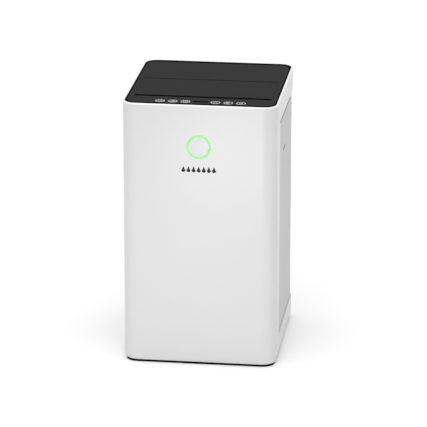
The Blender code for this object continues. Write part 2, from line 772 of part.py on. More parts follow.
def drain():
    """Hose outlet at the rear, closed by a rubber plug."""
    centre = (DRAIN_X, PORT_Z)
    spout = [(0.0055, 0.118), (0.008, 0.118), (0.008, COVER_FACE_Y - GAP),
             (0.0055, COVER_FACE_Y - GAP)]
    solid("drain_spout", turned(spout, "Y", centre, 16), "black_matte", smooth=True)
    stopper = [(0, 0.134), (0.0051, 0.136), (0.0051, COVER_FACE_Y), (0.0082, COVER_FACE_Y),
               (0.0082, 0.1492), (0.0072, 0.1499), (0, 0.1499)]
    plug = solid("drain_plug", turned(stopper, "Y", centre, 16), "rubber", smooth=True)
    hang("plug_pull", (centre[0], COVER_FACE_Y, centre[1]), [plug])


# Refrigerant circuit.


def coils():
    for name, front, finish in (("condenser", 0.038, "aluminium"), ("evaporator", 0.070, "aluminium")):
        solid(name, box((-COIL_HALF, front, COIL_LOW), (COIL_HALF, front + 0.022, COIL_HIGH)), finish)


def compressor():
    """Welded steel can on its foot plate; the discharge pipe enters at the hole on top."""
    x, y = COMPRESSOR_AT
    radius = COMPRESSOR_RADIUS
    wall = 0.006
    profile = [(0.0045, 0.180), (0.025, 0.1775), (0.045, 0.168), (radius, 0.150), (radius, 0.050),
               (0.045, 0.030), (0.025, 0.0215), (0, 0.0195)]
    inside = [(0, 0.0195 + wall), (0.022, 0.0215 + wall), (0.040, 0.036),
              (radius - wall, 0.053), (radius - wall, 0.147), (0.040, 0.163), (0.022, 0.1715),
              (0.0045, 0.174)]
    can = solid("compressor", turned_shell(profile, inside, (x, y)), "black_paint", smooth=True)
    fuse(can, foot_plate())
    grommets()
    tank_side = [(0, 0.058), (0.010, 0.060), (0.015, 0.068), (0.015, 0.140), (0.010, 0.148),
                 (0, 0.150)]
    solid("accumulator", turned(tank_side, "Z", (-0.102, y), 16), "black_paint", smooth=True)
    solid("run_capacitor", cylinder(0.018, "Z", 0.0063, 0.080, (0.085, -0.060), 20), "aluminium",
          smooth=True)


def turned_shell(outside, inside, centre):
    """A can with one hole, where the outside and inside profiles meet."""
    shape = bmesh.new()
    skins = []
    for profile in (outside, inside[::-1]):
        rings = []
        for radius, height in profile:
            points = circle(centre, radius, 24) if radius > 0 else [centre]
            rings.append([shape.verts.new(on_axis("Z", point, height)) for point in points])
        for ring, other in zip(rings, rings[1:]):
            join_rings(shape, ring, other)
        skins.append(rings)
    skin_between(shape, skins[0][0], skins[1][0])
    return shape


def grommet_places():
    x, y = COMPRESSOR_AT
    return [(x + FOOT_CIRCLE * math.cos(math.radians(a)), y + FOOT_CIRCLE * math.sin(math.radians(a)))
            for a in (30, 150, 270)]


def foot_plate():
    outline = []
    for (x, y), angle in zip(grommet_places(), (30, 150, 270)):
        outline += arc((x, y), 0.011, angle - 60, angle + 60, 5)
    return prism(outline, "Z", 0.0175, 0.0215)


def grommets():
    profile = [(0.0035, -0.00545), (0.009, -0.00545), (0.009, -0.0015), (0.0065, 0.0),
               (0.009, 0.0015), (0.009, 0.00545), (0.0035, 0.00545)]
    first = solid("grommet_1", turned(profile, "Z", (0.0, 0.0), 16), "rubber", smooth=True)
    places = grommet_places()
    height = 0.01175
    first.location = (*places[0], height)
    for number, (x, y) in enumerate(places[1:], 2):
        place_mesh(f"grommet_{number}", first.data, (x, y, height))


def pipes():
    x, y = COMPRESSOR_AT
    discharge = [(x, y, 0.1806), (x, y, 0.1880), (-0.117, -0.041, 0.1880), (-0.117, -0.041, 0.225),
                 (-0.117, 0.049, 0.235), (-COIL_HALF - GAP, 0.049, 0.235)]
    rod("discharge_pipe", rounded_route(discharge, 0.0035), 0.003, "copper")
    suction = [(-COIL_HALF - GAP, 0.081, 0.390), (-0.122, 0.081, 0.390), (-0.122, -0.035, 0.300),
               (-0.117, -0.056, 0.200), (-0.102, y, 0.175), (-0.102, y, 0.1503)]
    rod("suction_pipe", rounded_route(suction, 0.010), 0.004, "copper")


# Electrics.


def electrics():
    solid("control_board", box((-0.110, -0.142, 0.4800), (0.110, -0.1015, 0.4816)), "circuit_green")
    solid("main_board", box((-0.060, -0.1400, 0.2000), (0.060, -0.1384, 0.2520)), "circuit_green")
    solid("float_switch", box((-0.092, -0.0065, 0.075), (-0.072, 0.0027, 0.095)), "black_matte")
    solid("humidity_sensor", box((0.106, 0.130, 0.300), (0.114, 0.138, 0.322)), "white_gloss")
    gland = [(0.0040, 0.139), (0.0060, 0.139), (0.0060, COVER_FACE_Y + GAP),
             (0.0090, COVER_FACE_Y + GAP), (0.0090, 0.1492), (0.0080, 0.1499), (0.0040, 0.1499)]
    solid("cord_gland", turned(gland, "Y", (GLAND_X, PORT_Z), 16), "rubber", smooth=True)


def build():
    clear_scene()
    body_shell()
    base_pan()
    feet()
    side_cover("side_cover_left", -1)
    side_cover("side_cover_right", 1)
    rear_cover()
    intake_grille()
    top_panel()
    touch_keys()
    display_lens()
    outlet_flap()
    flap_drive()
    outlet_grille()
    outlet_duct()
    status_light()
    blower_housing()
    blower_wheel()
    fan_motor()
    inner_frame()
    drip_tray()
    water_tank()
    drain()
    coils()
    compressor()
    pipes()
    electrics()


build()
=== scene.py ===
"""Looks of a household dehumidifier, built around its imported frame.

The frame holds the solids that fit and move. This script gives each of them its final
surface: a new mesh where the eye falls on it, a softened copy where the solid's own shape
is right, and a procedural material on all of them. Lengths are metres, +Z is up and the
front faces -Y.
"""

import logging
import math
from contextlib import contextmanager
from dataclasses import dataclass
from enum import Enum
from functools import cache
from typing import Any, Callable, Iterator, Sequence

import bmesh
import bpy
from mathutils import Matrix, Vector


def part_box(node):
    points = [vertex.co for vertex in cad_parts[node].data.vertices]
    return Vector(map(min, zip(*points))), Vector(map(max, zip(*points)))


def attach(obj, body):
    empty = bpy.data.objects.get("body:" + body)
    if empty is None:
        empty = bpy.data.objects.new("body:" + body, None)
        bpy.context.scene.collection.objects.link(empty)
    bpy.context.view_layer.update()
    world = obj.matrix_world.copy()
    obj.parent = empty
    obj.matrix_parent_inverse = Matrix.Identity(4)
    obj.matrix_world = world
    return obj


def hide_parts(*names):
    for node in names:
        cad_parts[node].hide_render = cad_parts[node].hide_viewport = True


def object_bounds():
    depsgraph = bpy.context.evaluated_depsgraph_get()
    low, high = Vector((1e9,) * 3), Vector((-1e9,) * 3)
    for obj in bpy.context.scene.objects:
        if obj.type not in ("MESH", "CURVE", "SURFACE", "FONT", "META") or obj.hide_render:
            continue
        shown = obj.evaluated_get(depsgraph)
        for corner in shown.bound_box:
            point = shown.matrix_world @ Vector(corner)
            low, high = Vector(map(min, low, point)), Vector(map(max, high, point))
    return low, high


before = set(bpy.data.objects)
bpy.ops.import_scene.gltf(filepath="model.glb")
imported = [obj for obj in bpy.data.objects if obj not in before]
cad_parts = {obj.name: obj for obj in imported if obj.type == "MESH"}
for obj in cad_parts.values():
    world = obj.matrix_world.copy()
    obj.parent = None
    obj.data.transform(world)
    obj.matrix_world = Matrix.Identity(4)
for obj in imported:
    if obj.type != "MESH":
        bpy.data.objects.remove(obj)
CAD_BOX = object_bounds()

LOG = logging.getLogger("dehumidifier")

Point = Sequence[float]
Colour = tuple[float, float, float]
Object = bpy.types.Object
Node = bpy.types.Node
Socket = bpy.types.NodeSocket
Test = Callable[[Any], bool]

X, Y, Z = range(3)
STRAIGHT = 0.999  # the cosine from which two ways count as one
NEAR = 0.0001  # two levels closer than this are the same
PAST = 0.1  # how far a cutter reaches past what it cuts


# Shader arithmetic.


class Signal:
    """A shader socket that takes part in Python arithmetic."""

    def __init__(self, graph: "Graph", socket: Socket) -> None:
        """Wraps a socket of a graph."""
        self.graph = graph
        self.socket = socket

    def __add__(self, other: "Signal | float") -> "Signal":
        """Sum."""
        return self.graph.math("ADD", self, other)

    __radd__ = __add__

    def __mul__(self, other: "Signal | float") -> "Signal":
        """Product."""
        return self.graph.math("MULTIPLY", self, other)

    __rmul__ = __mul__

    def __sub__(self, other: "Signal | float") -> "Signal":
        """Difference."""
        return self.graph.math("SUBTRACT", self, other)

    def __rsub__(self, other: float) -> "Signal":
        """Difference from a number."""
        return self.graph.math("SUBTRACT", other, self)

    def sway(self, amount: float) -> "Signal":
        """This signal about nought, scaled: half becomes nought."""
        return (self - 0.5) * amount


class Graph:
    """A node tree that is filled through one method."""

    def __init__(self, tree: bpy.types.NodeTree, space: str = "Object") -> None:
        """Takes a tree and the coordinates that its textures read.

        Args:
            tree: The tree to fill.
            space: The Texture Coordinate output that textures read.
        """
        self.tree = tree
        self.shader = tree.nodes.get("Principled BSDF") or tree.nodes.get("Background")
        self.place = self.node("ShaderNodeTexCoord").outputs[space]

    def node(self, kind: str, inputs: dict[Any, Any] | None = None, **settings: Any) -> Node:
        """Adds a node.

        Args:
            kind: The node's type name.
            inputs: Values or signals for its sockets, by name or number.
            **settings: Properties, set before the sockets.

        Returns:
            The new node.
        """
        node = self.tree.nodes.new(kind)
        for key, value in settings.items():
            setattr(node, key, value)
        for key, value in (inputs or {}).items():
            self.feed(node.inputs[key], value)
        return node

    def feed(self, socket: Socket, value: Any) -> None:
        """Links a signal to a socket, or sets a plain value on it.

        Args:
            socket: The socket to fill.
            value: A signal, another socket or a plain value.
        """
        if isinstance(value, Signal):
            value = value.socket
        if isinstance(value, Socket):
            self.tree.links.new(value, socket)
        else:
            socket.default_value = value

    def math(self, operation: str, *operands: Any) -> Signal:
        """A Math node over signals and numbers."""
        node = self.node("ShaderNodeMath", dict(enumerate(operands)), operation=operation)
        return Signal(self, node.outputs[0])

    def texture(self, kind: str, size: float, stretch: Point, output: "str | int", **inputs: Any) -> Signal:
        """A texture whose features are about size metres, on stretched coordinates.

        Args:
            kind: The texture node's type name.
            size: How big a feature is, in metres.
            stretch: Factors along X, Y and Z.
            output: The output to read.
            **inputs: Values for the node's other sockets.

        Returns:
            The texture's signal.
        """
        place = self.node("ShaderNodeMapping", {"Vector": self.place, "Scale": tuple(stretch)})
        node = self.node(kind, {"Vector": place.outputs[0], "Scale": 1 / size, **inputs})
        return Signal(self, node.outputs[output])

    def noise(self, size: float, detail: float = 2.0, stretch: Point = (1, 1, 1)) -> Signal:
        """Noise whose blobs are about size metres across."""
        return self.texture("ShaderNodeTexNoise", size, stretch, 0, Detail=detail)

    def cells(self, size: float) -> Signal:
        """Distance to the nearest of scattered points, size metres apart."""
        return self.texture("ShaderNodeTexVoronoi", size, (1, 1, 1), "Distance")

    def along(self, axis: str) -> Signal:
        """One of the coordinates, in metres on an object."""
        return Signal(self, self.node("ShaderNodeSeparateXYZ", {0: self.place}).outputs[axis])

    def tint(self, factor: Signal, first: "Colour | Signal", second: Colour) -> Signal:
        """A colour that runs from first to second with the factor.

        Args:
            factor: 0 for the first colour, 1 for the second.
            first: The colour at 0.
            second: The colour at 1.

        Returns:
            The mixed colour.
        """
        start = first if isinstance(first, Signal) else (*first, 1.0)
        node = self.node("ShaderNodeMix", {0: factor, 6: start, 7: (*second, 1.0)}, data_type="RGBA")
        return Signal(self, node.outputs[2])

    def set(self, **values: Any) -> None:
        """Sets sockets of the shader; underscores in a name stand for spaces.

        Args:
            **values: Values or signals, by the socket's name.
        """
        for key, value in values.items():
            name = key.replace("_", " ")
            if name == "Base Color" and isinstance(value, tuple):
                value = (*value, 1.0)
            self.feed(self.shader.inputs[name], value)

    def bump(self, height: Signal, depth: float) -> None:
        """Presses a height into the surface, depth metres deep."""
        node = self.node("ShaderNodeBump", {"Height": height, "Distance": depth})
        self.feed(self.shader.inputs["Normal"], node.outputs[0])


# Finishes.


def scaled(colour: Colour, factor: float) -> Colour:
    """A colour, darker or lighter."""
    return tuple(channel * factor for channel in colour)


@dataclass(frozen=True)
class Finish:
    """A surface that a piece can be given."""

    slot: str
    colour: Colour
    roughness: float

    def paint(self, graph: Graph) -> None:
        """Fills the graph; each finish has its own way."""
        graph.set(Base_Color=self.colour, Roughness=self.roughness)

    @cache
    def material(self) -> bpy.types.Material:
        """The one material of this finish.

        Returns:
            The material, made on the first call.
        """
        note = getattr(self, "note", type(self).__name__.lower())
        material = bpy.data.materials.new(f"{self.slot}_{note}")
        material.use_nodes = True
        self.paint(Graph(material.node_tree))
        return material


@dataclass(frozen=True)
class Plastic(Finish):
    """Injection-moulded plastic: a fine spark-eroded grain and a slightly uneven gloss, with an optional
    painted highlight band at the top.
    """

    grain: float = 0.0006
    relief: float = 0.00002
    shade: float = 0.03
    specular: float = 0.5
    painted_highlight_above: float = 0.0
    note: str = "moulded"
    drift_size: float = 0.11
    pit_spread: float = 1.7
    highlight_fade: float = 0.0006
    highlight_colour: Colour = (0.82, 0.82, 0.82)
    grain_gloss: float = 0.10
    drift_gloss: float = 0.05
    grain_share: float = 0.6
    pit_share: float = 0.5

    def paint(self, graph: Graph) -> None:
        """Grain in the bump, slow drift in gloss and shade, and a painted highlight band above a given
        height.

        Args:
            graph: The material's node tree.
        """
        drift = graph.noise(self.drift_size)
        fine = graph.noise(self.grain, 3.0)
        pits = graph.cells(self.grain * self.pit_spread)
        colour = graph.tint(drift, scaled(self.colour, 1 - self.shade), self.colour)
        # Painted highlight: above the given height the colour blends into a lighter white, standing in for
        # the light that the rounded top rim catches.
        if self.painted_highlight_above:
            rim = graph.node("ShaderNodeMapRange", {
                "Value": graph.along("Z"), "From Min": self.painted_highlight_above - self.highlight_fade,
                "From Max": self.painted_highlight_above}, interpolation_type="SMOOTHSTEP")
            colour = graph.tint(Signal(graph, rim.outputs[0]), colour, self.highlight_colour)
        graph.set(Base_Color=colour, Specular_IOR_Level=self.specular,
                  Roughness=self.roughness + fine.sway(self.grain_gloss) + drift.sway(self.drift_gloss))
        graph.bump(fine * self.grain_share + pits * self.pit_share, self.relief)


@dataclass(frozen=True)
class Metal(Finish):
    """Bare metal with a drawn or brushed direction and faint tarnish."""

    lay: Point
    tarnish: Colour
    cloud: float
    brush_size: float = 0.0007
    cloud_size: float = 0.018
    relief: float = 0.00001
    brush_gloss: float = 0.22
    cloud_gloss: float = 0.10

    def paint(self, graph: Graph) -> None:
        """Brushing in roughness and bump, tarnish in the colour.

        Args:
            graph: The material's node tree.
        """
        brush = graph.noise(self.brush_size, 2.0, self.lay)
        clouds = graph.noise(self.cloud_size, 4.0)
        graph.set(Base_Color=graph.tint(clouds * self.cloud, self.colour, self.tarnish),
                  Roughness=self.roughness + brush.sway(self.brush_gloss) + clouds.sway(self.cloud_gloss),
                  Metallic=1.0)
        graph.bump(brush, self.relief)


@dataclass(frozen=True)
class Enamel(Finish):
    """Dipped paint on steel: orange peel and a soft gloss."""

    peel_size: float = 0.0035
    dust_size: float = 0.03
    dust: float = 1.9
    dulling: float = 0.16
    coat: float = 0.25
    coat_roughness: float = 0.2
    relief: float = 0.00008

    def paint(self, graph: Graph) -> None:
        """Peel in the bump, dust in the roughness.

        Args:
            graph: The material's node tree.
        """
        peel = graph.noise(self.peel_size)
        dust = graph.noise(self.dust_size, 4.0)
        graph.set(Base_Color=graph.tint(dust, self.colour, scaled(self.colour, self.dust)),
                  Roughness=self.roughness + dust * self.dulling, Coat_Weight=self.coat,
                  Coat_Roughness=self.coat_roughness)
        graph.bump(peel, self.relief)


@dataclass(frozen=True)
class Rubber(Finish):
    """Moulded rubber, and a dead black used as painted shade: dull, with dust in the pores."""

    shine: float = 0.05
    note: str = "moulded"
    pore_size: float = 0.0007
    talc_size: float = 0.006
    talc_share: float = 0.5
    talc_tone: float = 3.0
    talc_gloss: float = 0.12
    relief: float = 0.00004

    def paint(self, graph: Graph) -> None:
        """Pores in the bump, talc in the colour.

        Args:
            graph: The material's node tree.
        """
        pores = graph.cells(self.pore_size)
        talc = graph.noise(self.talc_size, 4.0)
        tone = scaled(self.colour, self.talc_tone)
        graph.set(Base_Color=graph.tint(talc * self.talc_share, self.colour, tone),
                  Roughness=self.roughness - talc * self.talc_gloss, Specular_IOR_Level=self.shine)
        graph.bump(pores, self.relief)


@dataclass(frozen=True)
class TintedClear(Finish):
    """Blown, tinted clear plastic with a faint ripple."""

    clearness: float = 0.75
    index: float = 1.49
    ripple_size: float = 0.02
    haze_size: float = 0.005
    haze_tone: float = 0.93
    haze_gloss: float = 0.08
    relief: float = 0.00006

    def paint(self, graph: Graph) -> None:
        """Ripple in the bump, haze in the roughness.

        Args:
            graph: The material's node tree.
        """
        ripple = graph.noise(self.ripple_size)
        haze = graph.noise(self.haze_size, 3.0)
        graph.set(Base_Color=graph.tint(haze, self.colour, scaled(self.colour, self.haze_tone)),
                  Roughness=self.roughness + haze * self.haze_gloss, Transmission_Weight=self.clearness,
                  IOR=self.index)
        graph.bump(ripple, self.relief)


@dataclass(frozen=True)
class LitDiffuser(Finish):
    """A milky light guide, lit from behind."""

    unlit: Colour = (0.08, 0.2, 0.08)
    glow: float = 1.0
    dip: float = 0.82
    lamp_spread: float = 0.012
    grain: float = 0.0008
    relief: float = 0.00002

    def paint(self, graph: Graph) -> None:
        """The glow dips a little between the lamps behind it.

        Args:
            graph: The material's node tree.
        """
        lamps = graph.noise(self.lamp_spread, 1.0)
        glow = graph.tint(lamps, scaled(self.colour, self.dip), self.colour)
        graph.set(Base_Color=self.unlit, Roughness=self.roughness, Emission_Color=glow,
                  Emission_Strength=self.glow)
        graph.bump(graph.noise(self.grain), self.relief)


@dataclass(frozen=True)
class CircuitBoard(Finish):
    """Green solder mask over copper tracks."""

    track: Colour = (0.029, 0.219, 0.0955)
    block: float = 0.0234
    line: float = 0.06
    line_edge: float = 0.1
    stagger: float = 0.37
    narrowing: float = 0.6
    mask_size: float = 0.004
    mask_gloss: float = 0.1
    coat: float = 0.3
    relief: float = 0.00005

    def paint(self, graph: Graph) -> None:
        """Tracks run along X and Y in blocks and stand a hair proud.

        Args:
            graph: The material's node tree.
        """
        blocks = graph.node("ShaderNodeTexBrick", {
            "Vector": graph.place, "Scale": 1 / self.block, "Mortar Size": self.line,
            "Mortar Smooth": self.line_edge}, offset=self.stagger, squash=self.narrowing)
        tracks = Signal(graph, blocks.outputs["Fac"])
        graph.set(Base_Color=graph.tint(tracks, self.colour, self.track),
                  Roughness=self.roughness + graph.noise(self.mask_size) * self.mask_gloss,
                  Coat_Weight=self.coat)
        graph.bump(tracks, self.relief)


@dataclass(frozen=True)
class Gauze(Finish):
    """Woven filter gauze, open between its threads."""

    lint: Colour = (0.26, 0.26, 0.25)
    lint_size: float = 0.012
    pitch: float = 0.0016
    thread: float = 0.42
    relief: float = 0.0001

    def paint(self, graph: Graph) -> None:
        """Threads along X and Z, holes between them.

        Args:
            graph: The material's node tree.
        """
        share = []
        for axis in ("X", "Z"):
            turn = graph.math("FRACT", graph.along(axis) * (1 / self.pitch))
            share.append(graph.math("LESS_THAN", turn, self.thread))
        threads = graph.math("MAXIMUM", *share)
        lint = graph.noise(self.lint_size, 4.0)
        graph.set(Base_Color=graph.tint(lint, self.colour, self.lint),
                  Roughness=self.roughness, Alpha=threads)
        graph.bump(threads, self.relief)


# The shell carries a painted highlight: its top rim is coloured lighter to stand for the light it catches.
SHELL = Plastic("white_shell", (0.565, 0.565, 0.565), 0.34, grain=0.0005, relief=0.000008, shade=0.015,
                painted_highlight_above=0.4912)
COVER = Plastic("grey_cover", (0.465, 0.465, 0.468), 0.52, grain=0.0007, relief=0.00003)
PANEL = Plastic("black_panel", (0.011, 0.011, 0.011), 0.50, relief=0.000012, specular=0.045)
KEY = Plastic("smoked_lens", (0.010, 0.010, 0.010), 0.45, 0.0004, 0.000006, specular=0.04, note="key")
LENS = Plastic("smoked_lens", (0.007, 0.007, 0.007), 0.30, 0.002, 0.000004, specular=0.0, note="display")
INNER = Plastic("black_inner", (0.022, 0.022, 0.023), 0.60, 0.0008, 0.00004, 0.10, specular=0.3)
PRINT = Plastic("key_grey", (0.85, 0.85, 0.85), 0.60, 0.0004, 0.000004, note="print")
NYLON = Plastic("key_grey", (0.42, 0.42, 0.43), 0.45, note="nylon")
INK = Plastic("black_panel", (0.012, 0.012, 0.013), 0.5, 0.0004, 0.000004, specular=0.2, note="ink")
GLOW = LitDiffuser("light_green", (0.19, 0.92, 0.19), 0.3)
SOFT = Rubber("rubber", (0.006, 0.006, 0.006), 0.85)
# Painted shade: near-black with no shine, put in gaps and along edges in place of their shadow.
PAINTED_SHADE = Rubber("rubber", (0.0012, 0.0012, 0.0012), 1.0, 0.0, "flocked")
MATT = Rubber("black_inner", (0.0012, 0.0012, 0.0012), 1.0, 0.0, "matt")
CLEAR = TintedClear("tank_plastic", (0.52, 0.58, 0.64), 0.16)
BOARD = CircuitBoard("circuit_board", (0.010, 0.110, 0.045), 0.40)
COPPER = Metal("copper", (0.78, 0.40, 0.24), 0.28, (0.2, 1.0, 1.0), (0.30, 0.13, 0.08), 0.5)
ALLOY = Metal("aluminium", (0.80, 0.81, 0.82), 0.34, (1.0, 0.15, 1.0), (0.52, 0.52, 0.52), 0.3)
STEEL = Metal("steel", (0.60, 0.60, 0.61), 0.27, (0.1, 1.0, 1.0), (0.38, 0.35, 0.32), 0.2)
BLACKED = Enamel("black_paint", (0.014, 0.014, 0.015), 0.34)
MESH = Gauze("filter_mesh", (0.10, 0.10, 0.11), 0.8)
PALE = Finish("pale_floor", (0.95, 0.95, 0.95), 0.95)


# Workbench: Blender's operators as short verbs.


def focus(*pieces: Object) -> None:
    """Selects only these pieces; the last one is active.

    Args:
        *pieces: The pieces to select.
    """
    for other in list(bpy.context.selected_objects):
        other.select_set(False)
    for piece in pieces:
        piece.select_set(True)
    bpy.context.view_layer.objects.active = pieces[-1]


def settle(piece: Object) -> Object:
    """Puts a piece's place, turn and size into its mesh.

    Args:
        piece: The object to settle.

    Returns:
        The same object, at the origin.
    """
    focus(piece)
    bpy.ops.object.transform_apply(location=True, rotation=True, scale=True)
    return piece


def block(name: str, low: Point, high: Point) -> Object:
    """A box between two corners, as the start of a piece.

    Args:
        name: The piece's name.
        low: The corner with the lowest coordinates.
        high: The corner with the highest coordinates.

    Returns:
        The box.
    """
    low, high = Vector(low), Vector(high)
    bpy.ops.mesh.primitive_cube_add(size=1, location=(low + high) / 2)
    piece = bpy.context.object
    piece.name = name
    piece.scale = high - low
    return settle(piece)


class Axis(Enum):
    """The way a round piece points, as the turn that stands a Z cylinder along it."""

    X = (0.0, math.pi / 2, 0.0)
    Y = (-math.pi / 2, 0.0, 0.0)
    Z = (0.0, 0.0, 0.0)


def drum(name: str, axis: Axis, centre: Point, radius: float, length: float, sides: int = 48) -> Object:
    """A cylinder about its centre, as the start of a piece.

    Args:
        name: The piece's name.
        axis: The way it points.
        centre: Its middle.
        radius: Its radius.
        length: Its length along the axis.
        sides: Steps round it.

    Returns:
        The cylinder.
    """
    bpy.ops.mesh.primitive_cylinder_add(vertices=sides, radius=radius, depth=length,
                                        location=centre, rotation=axis.value)
    piece = bpy.context.object
    piece.name = name
    return settle(piece)


@contextmanager
def editing(piece: Object, kind: str = "FACE") -> Iterator[None]:
    """Edit mode on one piece, with that selection kind.

    Args:
        piece: The object to edit.
        kind: VERT, EDGE or FACE.

    Yields:
        Nothing; the block runs in edit mode.
    """
    focus(piece)
    bpy.ops.object.mode_set(mode="EDIT")
    bpy.ops.mesh.select_mode(type=kind)
    yield
    bpy.ops.object.mode_set(mode="OBJECT")


def pick(piece: Object, kind: str, test: Test) -> None:
    """Selects the faces, edges or verts that pass a test, in edit mode.

    Args:
        piece: The object in edit mode.
        kind: verts, edges or faces.
        test: Says of each element whether it is chosen.
    """
    mesh = bmesh.from_edit_mesh(piece.data)
    for group in (mesh.faces, mesh.edges, mesh.verts):
        for element in group:
            element.select = False
    for element in filter(test, getattr(mesh, kind)):
        element.select_set(True)
    bmesh.update_edit_mesh(piece.data)


def runs_along(edge: bmesh.types.BMEdge, axis: int) -> bool:
    """Whether an edge runs along an axis."""
    first, second = edge.verts
    return abs((second.co - first.co).normalized()[axis]) > STRAIGHT


def looks(face: bmesh.types.BMFace, axis: int, sign: int) -> bool:
    """Whether a face looks along an axis, one way."""
    return face.normal[axis] * sign > STRAIGHT


def round_edges(piece: Object, test: Test, radius: float, segments: int) -> None:
    """Rounds chosen edges.

    Args:
        piece: The mesh to work on.
        test: Says of each element whether it is chosen.
        radius: The rounding's radius.
        segments: Steps in each rounding.
    """
    with editing(piece, "EDGE"):
        pick(piece, "edges", test)
        bpy.ops.mesh.bevel(offset=radius, segments=segments, profile=0.5, affect="EDGES")


def rounded(name: str, low: Point, high: Point, axis: int, radius: float, segments: int,
            test: Test = lambda edge: True) -> Object:
    """A box whose edges along one axis are rounded, where a test holds.

    Args:
        name: The piece's name.
        low: The corner with the lowest coordinates.
        high: The corner with the highest coordinates.
        axis: The number of the axis that the rounded edges run along.
        radius: The rounding's radius.
        segments: Steps in each rounding.
        test: Says of each element whether it is chosen.

    Returns:
        The rounded box.
    """
    piece = block(name, low, high)
    round_edges(piece, lambda edge: runs_along(edge, axis) and test(edge), radius, segments)
    return piece


def drop_faces(piece: Object, test: Test) -> None:
    """Deletes chosen faces.

    Args:
        piece: The mesh to work on.
        test: Says of each element whether it is chosen.
    """
    with editing(piece):
        pick(piece, "faces", test)
        bpy.ops.mesh.delete(type="FACE")


def modify(piece: Object, kind: str, **settings: Any) -> None:
    """Adds a modifier and applies it.

    Args:
        piece: The mesh to work on.
        kind: The modifier's type.
        **settings: Its settings.
    """
    modifier = piece.modifiers.new(kind.lower(), kind)
    for key, value in settings.items():
        setattr(modifier, key, value)
    focus(piece)
    bpy.ops.object.modifier_apply(modifier=modifier.name)


def carve(piece: Object, *tools: Object, operation: str = "DIFFERENCE") -> Object:
    """Cuts tools out of a piece and throws them away.

    Args:
        piece: The mesh to work on.
        *tools: The meshes to take away.
        operation: Another Boolean operation.

    Returns:
        The same piece, cut.
    """
    for tool in tools:
        modify(piece, "BOOLEAN", operation=operation, solver="EXACT", object=tool)
        bpy.data.objects.remove(tool)
    return piece


def weld(piece: Object, *others: Object) -> Object:
    """Unites pieces into one closed body."""
    return carve(piece, *others, operation="UNION")


def gather(name: str, pieces: Sequence[Object]) -> Object:
    """Joins pieces into one object.

    Args:
        name: The whole's name.
        pieces: The meshes to join.

    Returns:
        The one object.
    """
    focus(*pieces)
    bpy.ops.object.join()
    whole = bpy.context.object
    whole.name = name
    return whole


def copy_to(piece: Object, offset: Point) -> Object:
    """A copy with its own mesh, moved by an offset.

    Args:
        piece: The mesh to copy.
        offset: How far the copy moves.

    Returns:
        The copy.
    """
    focus(piece)
    bpy.ops.object.duplicate()
    bpy.ops.transform.translate(value=tuple(offset))
    return settle(bpy.context.object)


def soften(piece: Object, width: float, segments: int = 2, angle: float = 30.0) -> Object:
    """Breaks every sharp edge and smooths the shading, keeping flats flat.

    Args:
        piece: The mesh to work on.
        width: The broken edges' width.
        segments: Steps in each rounding.
        angle: The least angle of a sharp edge, in degrees.

    Returns:
        The same piece.
    """
    if width > 0:
        modify(piece, "BEVEL", width=width, segments=segments, limit_method="ANGLE",
               angle_limit=math.radians(angle), use_clamp_overlap=True)
    focus(piece)
    bpy.ops.object.shade_smooth_by_angle(angle=math.radians(50))
    modify(piece, "WEIGHTED_NORMAL", keep_sharp=True, weight=80)
    return piece


def tidy_mesh(piece: Object) -> Object:
    """Merges doubles, dissolves flat seams and turns all faces outwards.

    Args:
        piece: The mesh to work on.

    Returns:
        The same piece.
    """
    with editing(piece, "VERT"):
        bpy.ops.mesh.select_all(action="SELECT")
        bpy.ops.mesh.remove_doubles(threshold=0.00001)
        bpy.ops.mesh.dissolve_limited(angle_limit=math.radians(0.5))
        bpy.ops.mesh.normals_make_consistent(inside=False)
    return piece


def copy_of_node(node: str, name: str, width: float) -> Object:
    """A merged and softened copy of a solid, where its own shape is right.

    Args:
        node: The solid's name.
        name: The copy's name.
        width: The broken edges' width.

    Returns:
        The softened copy.
    """
    piece = bpy.data.objects.new(name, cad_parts[node].data.copy())
    bpy.context.scene.collection.objects.link(piece)
    piece.data.materials.clear()
    return soften(tidy_mesh(piece), width)


def turned(name: str, axis: Axis, centre: Point, profile: Sequence[tuple[float, float]],
           steps: int, closed: bool = False) -> Object:
    """A profile of (radius, height) turned about an axis through centre.

    Args:
        name: The piece's name.
        axis: The way the axis points; heights run along it.
        centre: A point on the axis, where height is nought.
        profile: Radius and height, from one end to the other.
        steps: Steps in the full turn.
        closed: Whether the profile runs back to its start.

    Returns:
        The closed piece.
    """
    points = [*profile, profile[0]] if closed else profile
    bpy.ops.mesh.primitive_plane_add(size=0.001, location=(0, 0, 0))
    piece = bpy.context.object
    piece.name = name
    with editing(piece, "VERT"):
        pick(piece, "verts", lambda vert: vert.index > 0)
        bpy.ops.mesh.delete(type="VERT")
        bpy.ops.mesh.select_all(action="SELECT")
        start = bmesh.from_edit_mesh(piece.data).verts[:][0].co.copy()
        bpy.ops.transform.translate(value=Vector((points[0][0], 0, points[0][1])) - start)
        for (radius, height), (next_radius, next_height) in zip(points, points[1:]):
            step = (next_radius - radius, 0, next_height - height)
            bpy.ops.mesh.extrude_region_move(TRANSFORM_OT_translate={"value": step})
        bpy.ops.mesh.select_all(action="SELECT")
        bpy.ops.mesh.spin(steps=steps, angle=2 * math.pi, center=(0, 0, 0), axis=(0, 0, 1))
        bpy.ops.mesh.select_all(action="SELECT")
        bpy.ops.mesh.remove_doubles(threshold=0.000005)
        bpy.ops.mesh.normals_make_consistent(inside=False)
    piece.rotation_euler = axis.value
    piece.location = centre
    return settle(piece)


